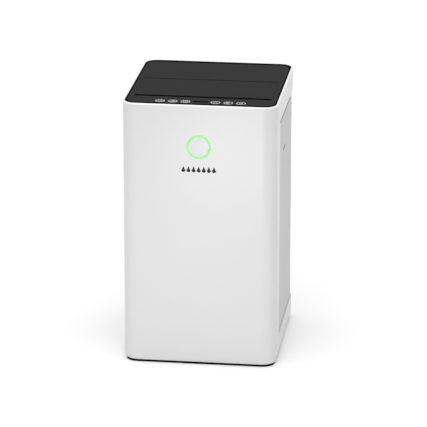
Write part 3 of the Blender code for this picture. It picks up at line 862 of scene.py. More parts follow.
def strokes(name: str, lines: Sequence[tuple[Sequence[Point], bool]], width: float) -> Object:
    """Round strokes along lines, as one mesh.

    Args:
        name: The piece's name.
        lines: For each stroke its points and whether it closes.
        width: The strokes' width.

    Returns:
        The mesh, with its strokes where their points are.
    """
    curve = bpy.data.curves.new(name, "CURVE")
    curve.dimensions = "3D"
    curve.bevel_depth = width / 2
    curve.bevel_resolution = 2
    curve.use_fill_caps = True
    for points, closes in lines:
        spline = curve.splines.new("POLY")
        spline.points.add(len(points) - 1)
        for target, point in zip(spline.points, points):
            target.co = (*point, 1.0)
        spline.use_cyclic_u = closes
    piece = bpy.data.objects.new(name, curve)
    bpy.context.scene.collection.objects.link(piece)
    focus(piece)
    bpy.ops.object.convert(target="MESH")
    return bpy.context.object


def arc_points(centre: Point, radius: float, start: float, end: float, steps: int = 24) -> list[Vector]:
    """Points of an arc in a level plane, in degrees."""
    turns = [math.radians(start + (end - start) * step / steps) for step in range(steps + 1)]
    return [Vector((centre[0] + radius * math.cos(t), centre[1] + radius * math.sin(t), 0)) for t in turns]


def middle_of(node: str) -> Vector:
    """The middle of a solid's box."""
    low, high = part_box(node)
    return (low + high) / 2


def publish(piece: Object, finish: Finish, *nodes: str, body: str = "housing") -> None:
    """Dresses a piece and hands it to its body.

    Args:
        piece: The finished mesh.
        finish: Its surface.
        *nodes: The solids that it stands for.
        body: The body that it rides on.
    """
    piece.data.materials.clear()
    piece.data.materials.append(finish.material())
    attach(piece, body)
    if nodes:
        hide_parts(*nodes)
    LOG.info("%s: %d faces on %s", piece.name, len(piece.data.polygons), body)


def reuse(*rows: tuple[Any, ...]) -> None:
    """Publishes softened copies of solids.

    Args:
        *rows: For each its node, the piece's name, its finish, the edge's width and, where it
            isn't the housing, its body.
    """
    for node, name, finish, width, *body in rows:
        publish(copy_of_node(node, name, width), finish, node, body=(body or ["housing"])[0])


# Housing.


@dataclass
class Housing:
    """Shell, covers, base and feet."""

    corner: float = 0.025
    wall: float = 0.003
    cover_wall: float = 0.0025
    recess: float = 0.002
    tuck: float = 0.003
    tuck_height: float = 0.017
    tuck_steps: int = 6
    gap: float = 0.0003
    slack: float = 0.0005
    mouth_drop: float = 0.1
    corner_steps: int = 20
    rim: float = 0.0018
    # Height of the painted shade strip on each side cover's top edge.
    seal: float = 0.0041
    lift: float = 0.0006
    sill: float = 0.0001
    lip: float = 0.0006
    slot_middle: tuple[float, float] = (0.003, 0.375)
    slot_half: Point = (0.01, 0.019, 0.003)
    hook_reach: float = 0.0035
    hook_root: float = 0.0004
    hook_low: tuple[float, float] = (-0.060, 0.070)
    hook_high: tuple[float, float] = (-0.052, 0.084)
    hook_tip: Point = (1, 0.6, 0.7)
    hook_columns: Point = (0, 0.12)
    hook_rows: Point = (0, 0.16, 0.335)
    screw_side: float = 0.108
    screw_top: float = 0.4405
    screw_seat: tuple[float, float] = (0.0037, 0.003)
    screw_head: Sequence[Point] = ((0, -0.0014), (0.0016, -0.0014), (0.0016, -0.0012), (0.0032, -0.0011),
                                   (0.0032, -0.0007), (0.0024, -0.0002), (0, -0.0001))
    screw_cross: Sequence[Point] = ((0.0016, 0.0008, 0.0003), (0.0003, 0.0008, 0.0016))
    spout_hole: float = 0.0083
    cord_hole: float = 0.0063
    sole: float = 0.0004
    edge_band: tuple[float, float] = (0.0015, 0.0024)
    edge_top: float = 0.0034
    edge_lift: float = 0.0008

    def make(self) -> None:
        """Builds the whole housing."""
        self.shell()
        self.side_covers()
        self.rear_cover()
        self.screws()
        self.base()

    def shell(self) -> None:
        """The white moulding: a rounded tube, tucked in at its foot, with its windows cut."""
        low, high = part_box("body_shell")
        shell = rounded("shell_moulding", low, high, Z, self.corner, self.corner_steps)
        drop_faces(shell, lambda face: abs(face.normal.z) > 0.9)
        self.tuck_foot(shell, low, high)
        modify(shell, "SOLIDIFY", thickness=self.wall, offset=-1, use_even_offset=True,
               use_quality_normals=True)
        round_edges(shell, lambda edge: self.on_rim(edge, low, high), self.rim, 4)
        side, rear_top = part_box("side_cover_right")[0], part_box("rear_cover")[1].z
        window = rounded("window", (low.x - PAST, side.y - self.gap, side.z - self.gap),
                         (high.x + PAST, high.y + PAST, rear_top + self.gap), X, 0.0025, 4,
                         lambda edge: edge.verts[0].co.y < 0)
        face_low, face_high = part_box("tank_face")
        mouth = block("mouth", (face_low.x - self.slack, face_low.y - 0.02, face_low.z - self.slack),
                      (face_high.x + self.slack, high.y + PAST, rear_top - self.mouth_drop))
        hole = drum("hole", Axis.Y, middle_of("light_cap"), FrontFace.ring_radius + self.gap, 0.05, 96)
        tidy_mesh(carve(shell, window, mouth, hole))
        publish(soften(shell, 0.0003), SHELL, "body_shell")

    @staticmethod
    def on_rim(edge: bmesh.types.BMEdge, low: Vector, high: Vector) -> bool:
        """Whether an edge is on the outer line of the shell's top.

        Args:
            edge: The edge to judge.
            low: The corner with the lowest coordinates.
            high: The corner with the highest coordinates.

        Returns:
            Whether it is on the rim's outer line.
        """
        if any(abs(vert.co.z - high.z) > NEAR for vert in edge.verts):
            return False
        return all(len([face for face in edge.link_faces if abs(face.normal.z) < 0.5
                        and face.normal.dot(vert.co - (low + high) / 2) > 0]) == 1 for vert in edge.verts)

    def tuck_foot(self, shell: Object, low: Vector, high: Vector) -> None:
        """Draws the shell's foot in along a soft curve and lifts it off the floor.

        Args:
            shell: The shell, before it gets its wall.
            low: The corner with the lowest coordinates.
            high: The corner with the highest coordinates.
        """
        size = high - low
        heights = [low.z + self.tuck_height * (step / self.tuck_steps) ** 2
                   for step in range(self.tuck_steps + 1)]
        with editing(shell, "VERT"):
            for height in heights[1:]:
                bpy.ops.mesh.select_all(action="SELECT")
                bpy.ops.mesh.bisect(plane_co=(0, 0, height), plane_no=(0, 0, 1))
            for step, height in enumerate(heights[:-1]):
                inset = self.tuck * (1 - step / self.tuck_steps) ** 2
                pick(shell, "verts", lambda vert: abs(vert.co.z - height) < NEAR / 2)
                bpy.ops.transform.resize(value=(1 - 2 * inset / size.x, 1 - 2 * inset / size.y, 1),
                                         center_override=(*middle_of("body_shell").xy, height))
            pick(shell, "verts", lambda vert: vert.co.z < low.z + 0.0006)
            bpy.ops.transform.translate(value=(0, 0, self.lift))

    def side_covers(self) -> None:
        """Two plain covers with a finger slot, a strip of painted shade along the top and hooks behind."""
        for side, body in ((-1, "side_left"), (1, "side_right")):
            node = body.replace("side", "side_cover")
            low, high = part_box(node)
            cover = rounded(f"{node}_plate", low, high, X, 0.002, 4)
            middle = Vector(((low.x + high.x) / 2, *self.slot_middle))
            half = Vector(self.slot_half)
            tidy_mesh(carve(cover, rounded("slot", middle - half, middle + half, X, 0.0028, 5)))
            publish(soften(cover, 0.0005, 3), COVER, node, body=body)
            inside = low.x if side > 0 else high.x
            self.cover_hooks(node, body, side, inside)
            # Painted shade: a dead-black strip along the cover's top edge stands in for the shadow under the
            # shell's lip.
            near, far = sorted((inside, inside + side * (high.x - low.x + 0.00004)))
            seal = block(f"{node}_seal", (near, low.y + 0.0004, high.z - self.seal),
                         (far, high.y, high.z + 0.0010))
            publish(soften(seal, 0.0), PAINTED_SHADE, body=body)

    def cover_hooks(self, node: str, body: str, side: int, inside: float) -> None:
        """Snap hooks on the inside of a side cover.

        Args:
            node: The cover's solid.
            body: The body that it rides on.
            side: -1 for the left, 1 for the right.
            inside: X of the cover's inner face.
        """
        reach = inside - side * self.hook_reach
        near, far = sorted((inside + side * self.hook_root, reach))
        first = block("hook", (near, *self.hook_low), (far, *self.hook_high))
        middle = (Vector(self.hook_low) + Vector(self.hook_high)) / 2
        with editing(first):
            pick(first, "faces", lambda face: looks(face, X, -side))
            bpy.ops.transform.resize(value=self.hook_tip, center_override=(reach, *middle))
        soften(first, self.hook_root)
        places = [(0, y, z) for z in self.hook_rows for y in self.hook_columns]
        hooks = [first, *(copy_to(first, place) for place in places[1:])]
        publish(gather(f"{node}_hooks", hooks), COVER, body=body)

    def rear_cover(self) -> None:
        """The grey rear cover: wraps both rear corners, with its mouths cut."""
        low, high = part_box("rear_cover")
        cover = rounded("rear_moulding", low, high, Z, self.corner - self.recess, self.corner_steps,
                        lambda edge: edge.verts[0].co.y > high.y - 0.001)
        drop_faces(cover, lambda face: abs(face.normal.z) > 0.9 or face.normal.y < -0.9)
        modify(cover, "SOLIDIFY", thickness=self.cover_wall, offset=-1, use_even_offset=True)
        tank_low, tank_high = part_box("tank_face")
        grille_low, grille_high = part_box("intake_grille")
        tools = [rounded("mouth", (tank_low.x - self.slack, 0.11, 0.0),
                         (tank_high.x + self.slack, 0.2, tank_high.z + self.slack), Y, 0.002, 3),
                 rounded("window", (grille_low.x - self.gap, 0.12, grille_low.z - self.gap),
                         (grille_high.x + self.gap, 0.2, grille_high.z + self.gap), Y, 0.006, 6)]
        tools += [drum("hole", Axis.Y, middle_of(node), radius, PAST)
                  for node, radius in (("drain_spout", self.spout_hole), ("cord_gland", self.cord_hole))]
        tools += [drum("seat", Axis.Y, place, *self.screw_seat, 32) for place in self.screw_places()]
        tidy_mesh(carve(cover, *tools))
        publish(soften(cover, 0.0005, 3), COVER, "rear_cover")

    def screw_places(self) -> list[Vector]:
        """Where the rear cover's screws sit, on its face.

        Returns:
            The middle of each screw's head.
        """
        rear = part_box("rear_cover")[1].y
        row = (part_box("tank_face")[1].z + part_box("intake_grille")[0].z) / 2
        return [Vector((side * self.screw_side, rear, z)) for side in (-1, 1)
                for z in (row, self.screw_top)]

    def screws(self) -> None:
        """Cross-head screws in the rear cover."""
        for number, place in enumerate(self.screw_places(), 1):
            screw = turned(f"cover_screw_{number}", Axis.Y, place, self.screw_head, 32)
            carve(screw, *[block("slot", place - Vector(half), place + Vector(half))
                           for half in self.screw_cross])
            publish(soften(screw, 0.0), STEEL)

    def base(self) -> None:
        """Base tray and rubber feet."""
        tray = copy_of_node("base_pan", "base_tray", 0.0002)
        low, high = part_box("base_pan")
        size = high - low
        with editing(tray, "VERT"):
            pick(tray, "verts",
                 lambda vert: vert.co.z < low.z + self.sole and abs(vert.co.x) + abs(vert.co.y) > 0.1)
            bpy.ops.transform.translate(value=(0, 0, self.sill - low.z))
            foot, top = self.edge_band
            pick(tray, "verts", lambda vert: low.z + foot < vert.co.z < low.z + top)
            bpy.ops.transform.translate(value=(0, 0, self.edge_lift))
            pick(tray, "verts", lambda vert: vert.co.z < low.z + self.edge_top)
            bpy.ops.transform.resize(value=(1 + 2 * self.lip / size.x, 1 + 2 * self.lip / size.y, 1),
                                     center_override=(0, 0, 0))
        publish(tray, MATT, "base_pan")
        for number in range(1, 5):
            node = f"foot_{number}"
            low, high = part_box(node)
            radius, half = (high.x - low.x) / 2, (high.z - low.z) / 2
            profile = [(0, -half), (radius * 0.55, -half), (radius * 0.62, -half + 0.0005),
                       (radius * 0.70, -half), (radius - 0.0006, -half), (radius, -half + 0.0006),
                       (radius, half), (0, half)]
            pad = turned(f"foot_pad_{number}", Axis.Z, (low + high) / 2, profile, 48)
            publish(soften(pad, 0.0), SOFT, node)


# Top deck.


class Icon(Enum):
    """What a touch key shows, in units of the key's radius.

    Each stroke says whether it closes, then its points (x, y) and arcs (x, y, radius, start, end).
    """

    POWER = ((False, (0, 0, 0.42, 125, 415)), (False, (0, 0.15), (0, 0.55)))
    FAN = tuple((True, (x, y, 0.22, 0, 360)) for x, y in ((0, 0.26), (-0.22517, -0.13), (0.22517, -0.13)))
    CLOCK = ((True, (0, 0, 0.46, 0, 360)), (False, (0, 0.30), (0, 0), (0.22, -0.10)))
    DROP = ((True, (0, 0.58), (0, -0.12, 0.36, 150, 390)),)
    MOON = ((True, (0, 0, 0.46, 70, 300), (0.20, 0.10, 0.36, 270, 80)),)
    LOCK = ((True, (-0.32, -0.42), (0.32, -0.42), (0.32, 0.05), (-0.32, 0.05)),
            (False, (0, 0.05, 0.22, 180, 0)))

    def lines(self, radius: float) -> list[tuple[list[Vector], bool]]:
        """Its strokes on a key of this radius, each with whether it closes.

        Args:
            radius: The key's radius.

        Returns:
            Points of each stroke, and whether it closes.
        """
        lines = []
        for closes, *parts in self.value:
            points = []
            for x, y, *arc in parts:
                points += arc_points((x, y), *arc) if arc else [Vector((x, y, 0))]
            if closes and (points[0] - points[-1]).length < 0.001:
                points.pop()
            lines.append(([point * radius for point in points], closes))
        return lines


@dataclass
class TopDeck:
    """Panel, keys, display, outlet flap and the grille under it."""

    radius: float = 0.0202
    step: float = 0.0015
    step_down: float = 0.0024
    plate: float = 0.003
    flange: float = 0.0097
    gap: float = 0.0003
    slot: float = 0.0044
    sink: float = 0.0010
    room: float = 0.0001
    line: float = 0.0011
    ring_line: float = 0.0012
    # Widths of the painted shade ring in the panel's groove, across and along.
    seal: tuple[float, float] = (0.0028, 0.0092)
    shade_strip_gap: float = 0.0002
    proud: float = 0.00005
    film: float = 0.00003
    barrel: float = 0.0027
    bore: Point = (0.0016, 0.0115, 0.005)
    # How far the painted shade strip reaches back from the flap's front edge.
    lip: float = 0.0036
    ribs: int = 5
    rib_start: float = 0.012
    rib_pitch: float = 0.021
    rib_inset: float = 0.020
    rib_width: float = 0.0012
    digit_columns: Point = (-0.0066, -0.0026, 0.0022, 0.0062)
    digit_rows: Point = (-0.0012, 0.0012)
    digit_half: Point = (0.0002, 0.0008, 0.000025)
    digit_proud: float = 0.000005

    def make(self) -> None:
        """Builds the whole deck."""
        self.panel()
        self.shade_ring()
        self.flap()
        self.keys()
        self.display()
        reuse(("outlet_grille", "outlet_guard", INNER, 0.0005),
              ("outlet_duct", "outlet_funnel", INNER, 0.0006))

    def panel(self) -> None:
        """The black panel with its flange and the outlet's opening."""
        low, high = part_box("top_panel")
        step = self.step
        plate = rounded("panel_moulding", (low.x + step, low.y + step, high.z - self.plate),
                        (high.x - step, high.y - step, high.z), Z, self.radius, 16)
        flange = rounded("flange", low, (high.x, high.y, high.z - self.step_down), Z, self.radius + step, 16)
        inner = rounded("inner", low + Vector((self.flange, self.flange, -0.01)),
                        high - Vector((self.flange, self.flange, self.plate)), Z, 0.012, 8)
        weld(plate, carve(flange, inner))
        flap_low, flap_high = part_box("outlet_flap")
        carve(plate, block("opening", (flap_low.x - self.gap, flap_low.y - self.slot, low.z - 0.01),
                           (flap_high.x + self.gap, flap_high.y + self.gap, high.z + 0.01)))
        tools = []
        for number in range(1, len(Icon) + 1):
            key_low, key_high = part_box(f"key_window_{number}")
            tools.append(drum("seat", Axis.Z, (key_low + key_high) / 2,
                              (key_high.x - key_low.x) / 2 + self.room, 2 * self.sink, 64))
        lens_low, lens_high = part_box("display_lens")
        room = Vector((self.room, self.room, self.sink))
        tidy_mesh(carve(plate, *tools, rounded("seat", lens_low - room, lens_high + room, Z, 0.0013, 4)))
        publish(soften(plate, 0.00015), PANEL, "top_panel")

    def shade_ring(self) -> None:
        """A ring of painted shade in the groove between the panel and the shell, standing in for the gap's
        shadow.
        """
        low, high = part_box("top_panel")
        edge, (across, along) = self.shade_strip_gap, self.seal
        # Painted shade: the groove is filled flush with dead black in place of its shadow.
        seal = rounded("panel_shade_ring", (low.x + edge, low.y + edge, high.z - self.step_down),
                       (high.x - edge, high.y - edge, high.z + self.film), Z,
                       self.radius + self.step - edge, 16)
        core = rounded("core", (low.x + across, low.y + along, high.z - 0.01),
                       (high.x - across, high.y - along, high.z + 0.01), Z, self.radius - 0.001, 16)
        publish(soften(carve(seal, core), 0.0), PAINTED_SHADE)

    def flap(self) -> None:
        """The outlet flap: a plate with a hinge barrel, a strip of painted shade on its front edge and ribs
        below.
        """
        low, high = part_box("outlet_flap")
        axis_y, axis_z = high.y - self.barrel, high.z - self.barrel
        plate = block("flap_plate", (low.x, low.y, high.z - self.plate), (high.x, axis_y, high.z))
        weld(plate, drum("barrel", Axis.X, (0, axis_y, axis_z), self.barrel - 0.00002, high.x - low.x, 32))
        bore_radius, bore_length, bore_inset = self.bore
        for side in (-1, 1):
            end = (side * (high.x - bore_inset), axis_y, axis_z)
            carve(plate, drum("bore", Axis.X, end, bore_radius, bore_length, 24))
        publish(soften(tidy_mesh(plate), 0.00015, 2, 40.0), PANEL, "outlet_flap", body="flap")
        # Painted shade: a dead-black strip on the flap's front edge widens the dark line of the slot before
        # it.
        lip = block("flap_shade_strip", (low.x + 0.0006, low.y - 0.0006, high.z - 0.0029),
                    (high.x - 0.0006, low.y + self.lip, high.z + self.film))
        publish(soften(lip, 0.0001), PAINTED_SHADE, body="flap")
        starts = [low.y + self.rib_start + index * self.rib_pitch for index in range(self.ribs)]
        ribs = [block("rib", (low.x + self.rib_inset, y, high.z - 0.0042),
                      (high.x - self.rib_inset, y + self.rib_width, high.z - 0.0029)) for y in starts]
        publish(soften(gather("flap_ribs", ribs), 0.0002), PANEL, body="flap")
        reuse(*((f"flap_pin_{side}", f"hinge_pin_{side}", STEEL, 0.0002, "flap")
                for side in ("left", "right")))

    def keys(self) -> None:
        """Six flush key windows, each with a printed ring and icon."""
        for number, icon in enumerate(Icon, 1):
            node = f"key_window_{number}"
            low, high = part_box(node)
            centre = (low + high) / 2
            radius = (high.x - low.x) / 2
            disc = drum(f"key_disc_{number}", Axis.Z, (*centre.xy, high.z - 0.0005), radius, 0.001, 64)
            with editing(disc):
                pick(disc, "faces", lambda face: looks(face, Z, 1))
                bpy.ops.mesh.inset(thickness=0.0004, depth=0.0)
                bpy.ops.transform.translate(value=(0, 0, -self.film))
            publish(soften(disc, 0.0), KEY, node)
            self.key_print(number, icon, Vector((*centre.xy, high.z)), radius)

    def key_print(self, number: int, icon: Icon, top: Vector, radius: float) -> None:
        """The printed ring and icon on one key.

        Args:
            number: The key's number, from 1.
            icon: What it shows.
            top: The middle of the key's face.
            radius: The key's radius.
        """
        ring = arc_points((0, 0), radius * 0.95 - self.ring_line / 2, 0, 360, 64)[:-1]
        parts = []
        for name, paths, width in (("key_ring", [(ring, True)], self.ring_line),
                                   ("icon", icon.lines(radius), self.line)):
            part = strokes(name, paths, width)
            part.scale = (1, 1, self.proud * 2 / width)
            part.location = top
            parts.append(settle(part))
        publish(gather(f"key_print_{number}", parts), PRINT)

    def display(self) -> None:
        """The smoked display window, with two unlit digits on its face."""
        low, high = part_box("display_lens")
        lens = rounded("display_window", low, high, Z, 0.0012, 4)
        publish(soften(lens, 0.0002), LENS, "display_lens")
        centre = (low + high) / 2
        bars = []
        half = Vector(self.digit_half)
        for column in self.digit_columns:
            for row in self.digit_rows:
                middle = Vector((centre.x + column, centre.y + row, high.z + self.digit_proud))
                bars.append(block("bar", middle - half, middle + half))
        publish(gather("display_segments", bars), KEY)


@dataclass
class FrontFace:
    """Status light and the printed mark under it."""

    ring_radius: float = 0.022
    flange_radius: float = 0.025
    flange_depth: float = 0.0033
    ring_gap: float = 0.0003
    mark_height: float = 0.3721
    mark_width: float = 0.0645
    drops: int = 7

    def make(self) -> None:
        """Builds the light and the mark."""
        self.light()
        self.mark()

    def light(self) -> None:
        """The lit ring round its white cap."""
        low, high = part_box("light_ring")
        cap_low, cap_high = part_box("light_cap")
        centre = (cap_low + cap_high) / 2
        rim = (cap_high.x - cap_low.x) / 2
        inner, outer, flange = rim + self.ring_gap, self.ring_radius, self.flange_radius
        front = Vector((centre.x, low.y, centre.z))
        depth = high.y - low.y
        profile = [(inner, 0.0004), (inner + 0.0005, 0.0), (outer - 0.0005, 0.0), (outer, 0.0004),
                   (outer, self.flange_depth), (flange, self.flange_depth), (flange, depth), (inner, depth)]
        ring = turned("light_guide", Axis.Y, front, profile, 96, closed=True)
        publish(soften(ring, 0.0), GLOW, "light_ring")
        profile = [(0, 0.0), (rim - 0.0005, 0.0), (rim, 0.0005), (rim, depth), (0, depth)]
        cap = turned("light_hub", Axis.Y, front, profile, 96)
        publish(soften(cap, 0.0), SHELL, "light_cap")

    def mark(self) -> None:
        """A plain row of water drops, printed under the light."""
        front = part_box("body_shell")[0].y
        pitch = self.mark_width / self.drops
        marks = []
        for index in range(self.drops):
            x = (index - (self.drops - 1) / 2) * pitch
            marks.append(self.drop(Vector((x, front, self.mark_height)), pitch * 0.42))
        publish(gather("front_mark", marks), INK)

    @staticmethod
    def drop(centre: Vector, radius: float) -> Object:
        """One printed drop: a disc drawn out to a point at its top.

        Args:
            centre: The middle of its round part.
            radius: The radius of its round part.

        Returns:
            The drop.
        """
        drop = drum("drop", Axis.Y, centre, radius, 0.0001, 24)
        with editing(drop, "VERT"):
            for share, stretch in ((0.25, 1.25), (0.70, 1.45)):
                pick(drop, "verts", lambda vert: vert.co.z - centre.z > radius * share)
                bpy.ops.transform.resize(value=(0.62, 1, stretch), center_override=centre)
        return drop


# Rear.


@dataclass
class Rear:
    """Intake grille with its filter, hose outlet and cord gland."""

    bar: tuple[float, float] = (0.008, 0.0115)
    slats: int = 24
    slat: float = 0.0012
    lean: float = 32.0
    skin: float = 0.0001
    gauze_inset: float = 0.003
    gauze_depth: float = 0.0020
    gauze: float = 0.0003

    def make(self) -> None:
        """Builds everything on the rear cover."""
        self.grille()
        self.filter()
        reuse(("drain_spout", "hose_outlet", INNER, 0.0003),
              ("drain_plug", "hose_plug", SOFT, 0.0003, "plug"),
              ("cord_gland", "cord_bush", SOFT, 0.0003))

    def grille(self) -> None:
        """A frame with leaning slats and an upright in the middle."""
        low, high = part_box("intake_grille")
        border = Vector((self.bar[0], -0.01, self.bar[1]))
        inside_low, inside_high = low + border, high - border
        grille = rounded("grille_frame", low, high, Y, 0.006, 6)
        carve(grille, rounded("window", inside_low, inside_high, Y, 0.003, 5))
        soften(tidy_mesh(grille), 0.0005, 3)
        pitch = (inside_high.z - inside_low.z) / self.slats
        middle = inside_low.z + pitch / 2
        first = block("slat", (inside_low.x - 0.001, low.y + self.skin, middle - self.slat / 2),
                      (inside_high.x + 0.001, high.y - self.skin, middle + self.slat / 2))
        with editing(first):
            pick(first, "faces", lambda face: looks(face, Y, 1))
            fall = -math.tan(math.radians(self.lean)) * (high.y - low.y)
            bpy.ops.transform.translate(value=(0, 0, fall))
        soften(first, 0.0003)
        parts = [grille, first]
        parts += [copy_to(first, (0, 0, pitch * row)) for row in range(1, self.slats)]
        upright = block("upright", (-0.002, low.y, inside_low.z - 0.001),
                        (0.002, low.y + 0.0012, inside_high.z + 0.001))
        parts.append(soften(upright, 0.0003))
        publish(gather("intake_louvres", parts[::-1]), COVER, "intake_grille", body="intake")

    def filter(self) -> None:
        """Filter frame and the gauze moulded into it."""
        reuse(("filter_frame", "filter_carrier", INNER, 0.0003, "intake"))
        low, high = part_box("filter_frame")
        inset, middle = self.gauze_inset, low.y + self.gauze_depth
        sheet = block("filter_gauze", (low.x + inset, middle - self.gauze / 2, low.z + inset),
                      (high.x - inset, middle + self.gauze / 2, high.z - inset))
        with editing(sheet):
            bpy.ops.mesh.select_all(action="SELECT")
            bpy.ops.mesh.subdivide(number_cuts=7)
        publish(sheet, MESH, body="intake")


# Water tank.


@dataclass
class Tank:
    """Water tank with its face, lid, handle and float."""

    wall: float = 0.0022
    corner: float = 0.012
    foot: float = 0.004
    grip_low: tuple[float, float] = (-0.040, 0.154)
    grip_high: tuple[float, float] = (0.040, 0.168)

    def make(self) -> None:
        """Builds everything that slides out."""
        self.bin()
        self.face()
        reuse(("tank_lid", "tank_cover", COVER, 0.0004, "tank"),
              ("float_pin", "float_axle", STEEL, 0.0002, "tank"),
              ("tank_handle", "tank_bail", NYLON, 0.0, "handle"),
              ("tank_float", "float_block", SHELL, 0.0008, "float"))

    def bin(self) -> None:
        """The tinted bin, open at the top."""
        low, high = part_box("water_tank")
        tank = rounded("tank_bin", low, high, Z, self.corner, 10)
        round_edges(tank, lambda edge: all(vert.co.z < low.z + NEAR for vert in edge.verts), self.foot, 4)
        drop_faces(tank, lambda face: looks(face, Z, 1))
        modify(tank, "SOLIDIFY", thickness=self.wall, offset=-1, use_even_offset=True)
        publish(soften(tank, 0.0005), CLEAR, "water_tank", body="tank")

    def face(self) -> None:
        """The grey outside face with its grip slot."""
        low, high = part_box("tank_face")
        face = rounded("tank_front", low, high, Y, 0.002, 3)
        (left, foot), (right, top) = self.grip_low, self.grip_high
        carve(face, rounded("grip", (left, low.y - 0.01, foot), (right, high.y + 0.01, top), Y, 0.002, 4))
        publish(soften(tidy_mesh(face), 0.0006, 3), COVER, "tank_face", body="tank")


# Works inside.


@dataclass
class Works:
    """Blower, coils, compressor and electrics."""

    margin: float = 0.006
    fin: float = 0.0002
    fin_pitch: float = 0.0022
    end_plate: float = 0.001
    rows: int = 7
    bend_inset: float = 0.0055
    bend_reach: float = 0.0022
    tube: float = 0.0060

    def make(self) -> None:
        """Builds everything inside."""
        reuse(("blower_housing", "scroll_case", INNER, 0.0005),
              ("blower_inlet_plate", "scroll_cover", INNER, 0.0005),
              ("blower_wheel", "fan_wheel", INNER, 0.0002, "fan"),
              ("fan_shaft", "wheel_shaft", STEEL, 0.0002, "fan"),
              ("fan_motor", "wheel_motor", ALLOY, 0.0005),
              ("inner_frame", "inner_wall", INNER, 0.0005),
              ("drip_tray", "drip_pan", INNER, 0.0004),
              ("compressor", "compressor_can", BLACKED, 0.0008),
              ("accumulator", "accumulator_can", BLACKED, 0.0),
              ("run_capacitor", "capacitor_can", ALLOY, 0.0006),
              ("discharge_pipe", "hot_pipe", COPPER, 0.0),
              ("suction_pipe", "cold_pipe", COPPER, 0.0),
              ("control_board", "touch_board", BOARD, 0.0002),
              ("main_board", "power_board", BOARD, 0.0002),
              ("light_board", "ring_board", BOARD, 0.0002),
              ("float_switch", "level_switch", INNER, 0.0004),
              ("humidity_sensor", "air_sensor", SHELL, 0.0004),
              ("flap_motor", "flap_drive", STEEL, 0.0004),
              ("flap_pinion", "drive_pinion", NYLON, 0.0, "pinion"),
              ("flap_gear_sector", "flap_sector", NYLON, 0.0, "flap"),
              *((f"grommet_{n}", f"soft_mount_{n}", SOFT, 0.0003) for n in (1, 2, 3)))
        for node in ("evaporator", "condenser"):
            self.coil(node)

    def coil(self, node: str) -> None:
        """A stack of fins between two end plates, threaded by copper tube.

        Args:
            node: The coil's solid.
        """
        low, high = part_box(node)
        left, right, half = low.x + self.margin, high.x - self.margin, self.end_plate / 2
        fin = block("fin", (left, low.y, low.z), (left + self.fin, high.y, high.z))
        modify(fin, "ARRAY", count=int((right - left) / self.fin_pitch), use_relative_offset=False,
               use_constant_offset=True, constant_offset_displace=(self.fin_pitch, 0, 0))
        plates = [block("plate", (x - half, low.y, low.z), (x + half, high.y, high.z))
                  for x in (left - self.end_plate, right + self.end_plate)]
        publish(gather(f"{node}_fins", [fin, *plates]), ALLOY, node)
        rise = (high.z - low.z) / self.rows
        bends = [self.bend(Vector((x, y, low.z + rise * (row + 0.5))), side, rise / 2)
                 for side, x in ((-1, left), (1, right)) for row in range(self.rows)
                 for y in (low.y + self.bend_inset, high.y - self.bend_inset)]
        publish(gather(f"{node}_bends", bends), COPPER)

    def bend(self, centre: Vector, side: int, span: float) -> Object:
        """One return bend standing out of an end plate.

        Args:
            centre: Halfway between the bend's two feet.
            side: -1 for the left, 1 for the right.
            span: The distance between its feet.

        Returns:
            The bend.
        """
        turns = [math.pi * step / 8 for step in range(9)]
        points = [centre + Vector((side * self.bend_reach * math.sin(t), 0, -span / 2 * math.cos(t)))
                  for t in turns]
        return strokes("bend", [(points, False)], self.tube)


# Stage.


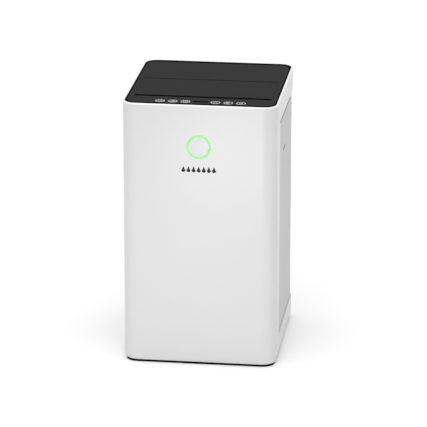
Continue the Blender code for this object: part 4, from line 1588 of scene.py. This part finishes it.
@dataclass
class Stage:
    """Floor, light and camera."""

    azimuth: float = 7.4641
    elevation: float = 18.1767
    reach: float = 19.8748
    lens: float = 253.5
    sensor: float = 36.0
    shift: tuple[float, float] = (0.00927, -0.00542)
    floor_size: float = 60.0
    horizon: float = 0.58
    zenith: float = 0.76
    front: float = 0.34
    lamp_place: Point = (0.0, -0.66, 0.27)
    lamp_aim: Point = (0.0, 0.0, 0.25)
    lamp_size: float = 0.20
    lamp_power: float = 0.62

    def make(self) -> None:
        """Sets the object on a pale floor in soft light."""
        self.camera()
        self.floor()
        self.sky()
        self.lamp()

    def camera(self) -> None:
        """A long lens, a little to the right and above."""
        low, high = CAD_BOX
        turn, rise = math.radians(self.azimuth), math.radians(self.elevation)
        back = Vector((math.sin(turn) * math.cos(rise), -math.cos(turn) * math.cos(rise), math.sin(rise)))
        bpy.ops.object.camera_add(location=(low + high) / 2 + back * (self.reach * (high.x - low.x)))
        camera = bpy.context.object
        camera.rotation_euler = (-back).to_track_quat("-Z", "Y").to_euler()
        camera.data.lens = self.lens
        camera.data.sensor_width = self.sensor
        camera.data.shift_x, camera.data.shift_y = self.shift
        camera.data.clip_end = 100.0
        bpy.context.scene.camera = camera

    def floor(self) -> None:
        """A plain pale floor."""
        bpy.ops.mesh.primitive_plane_add(size=self.floor_size, location=(0, 0, 0))
        floor = bpy.context.object
        floor.name = "floor"
        floor.data.materials.append(PALE.material())

    def sky(self) -> None:
        """White light from all round, strongest overhead and from the front."""
        world = bpy.data.worlds.new("studio")
        world.use_nodes = True
        bpy.context.scene.world = world
        graph = Graph(world.node_tree, "Generated")
        height = graph.math("MAXIMUM", graph.along("Z"), 0.0)
        front = graph.math("MAXIMUM", graph.along("Y") * -1.0, 0.0)
        level = self.horizon + height * self.zenith + front * self.front
        graph.set(Color=graph.tint(level * 0.5, (0, 0, 0), (1, 1, 1)), Strength=2.0)
        bpy.context.scene.view_settings.view_transform = "Standard"

    def lamp(self) -> None:
        """A small lamp that brightens the front face."""
        bpy.ops.object.light_add(type="AREA", location=self.lamp_place)
        lamp = bpy.context.object
        lamp.name = "front_lamp"
        lamp.data.size = self.lamp_size
        lamp.data.energy = self.lamp_power
        lamp.visible_camera = False
        aim = Vector(self.lamp_aim) - Vector(self.lamp_place)
        lamp.rotation_euler = aim.to_track_quat("-Z", "Y").to_euler()


def main() -> None:
    """Builds each sub-assembly in order."""
    logging.basicConfig(level=logging.INFO, format="%(message)s")
    for part in (Stage(), Housing(), FrontFace(), TopDeck(), Rear(), Tank(), Works()):
        LOG.info("-- %s", type(part).__name__)
        part.make()


if __name__ == "__main__":
    main()
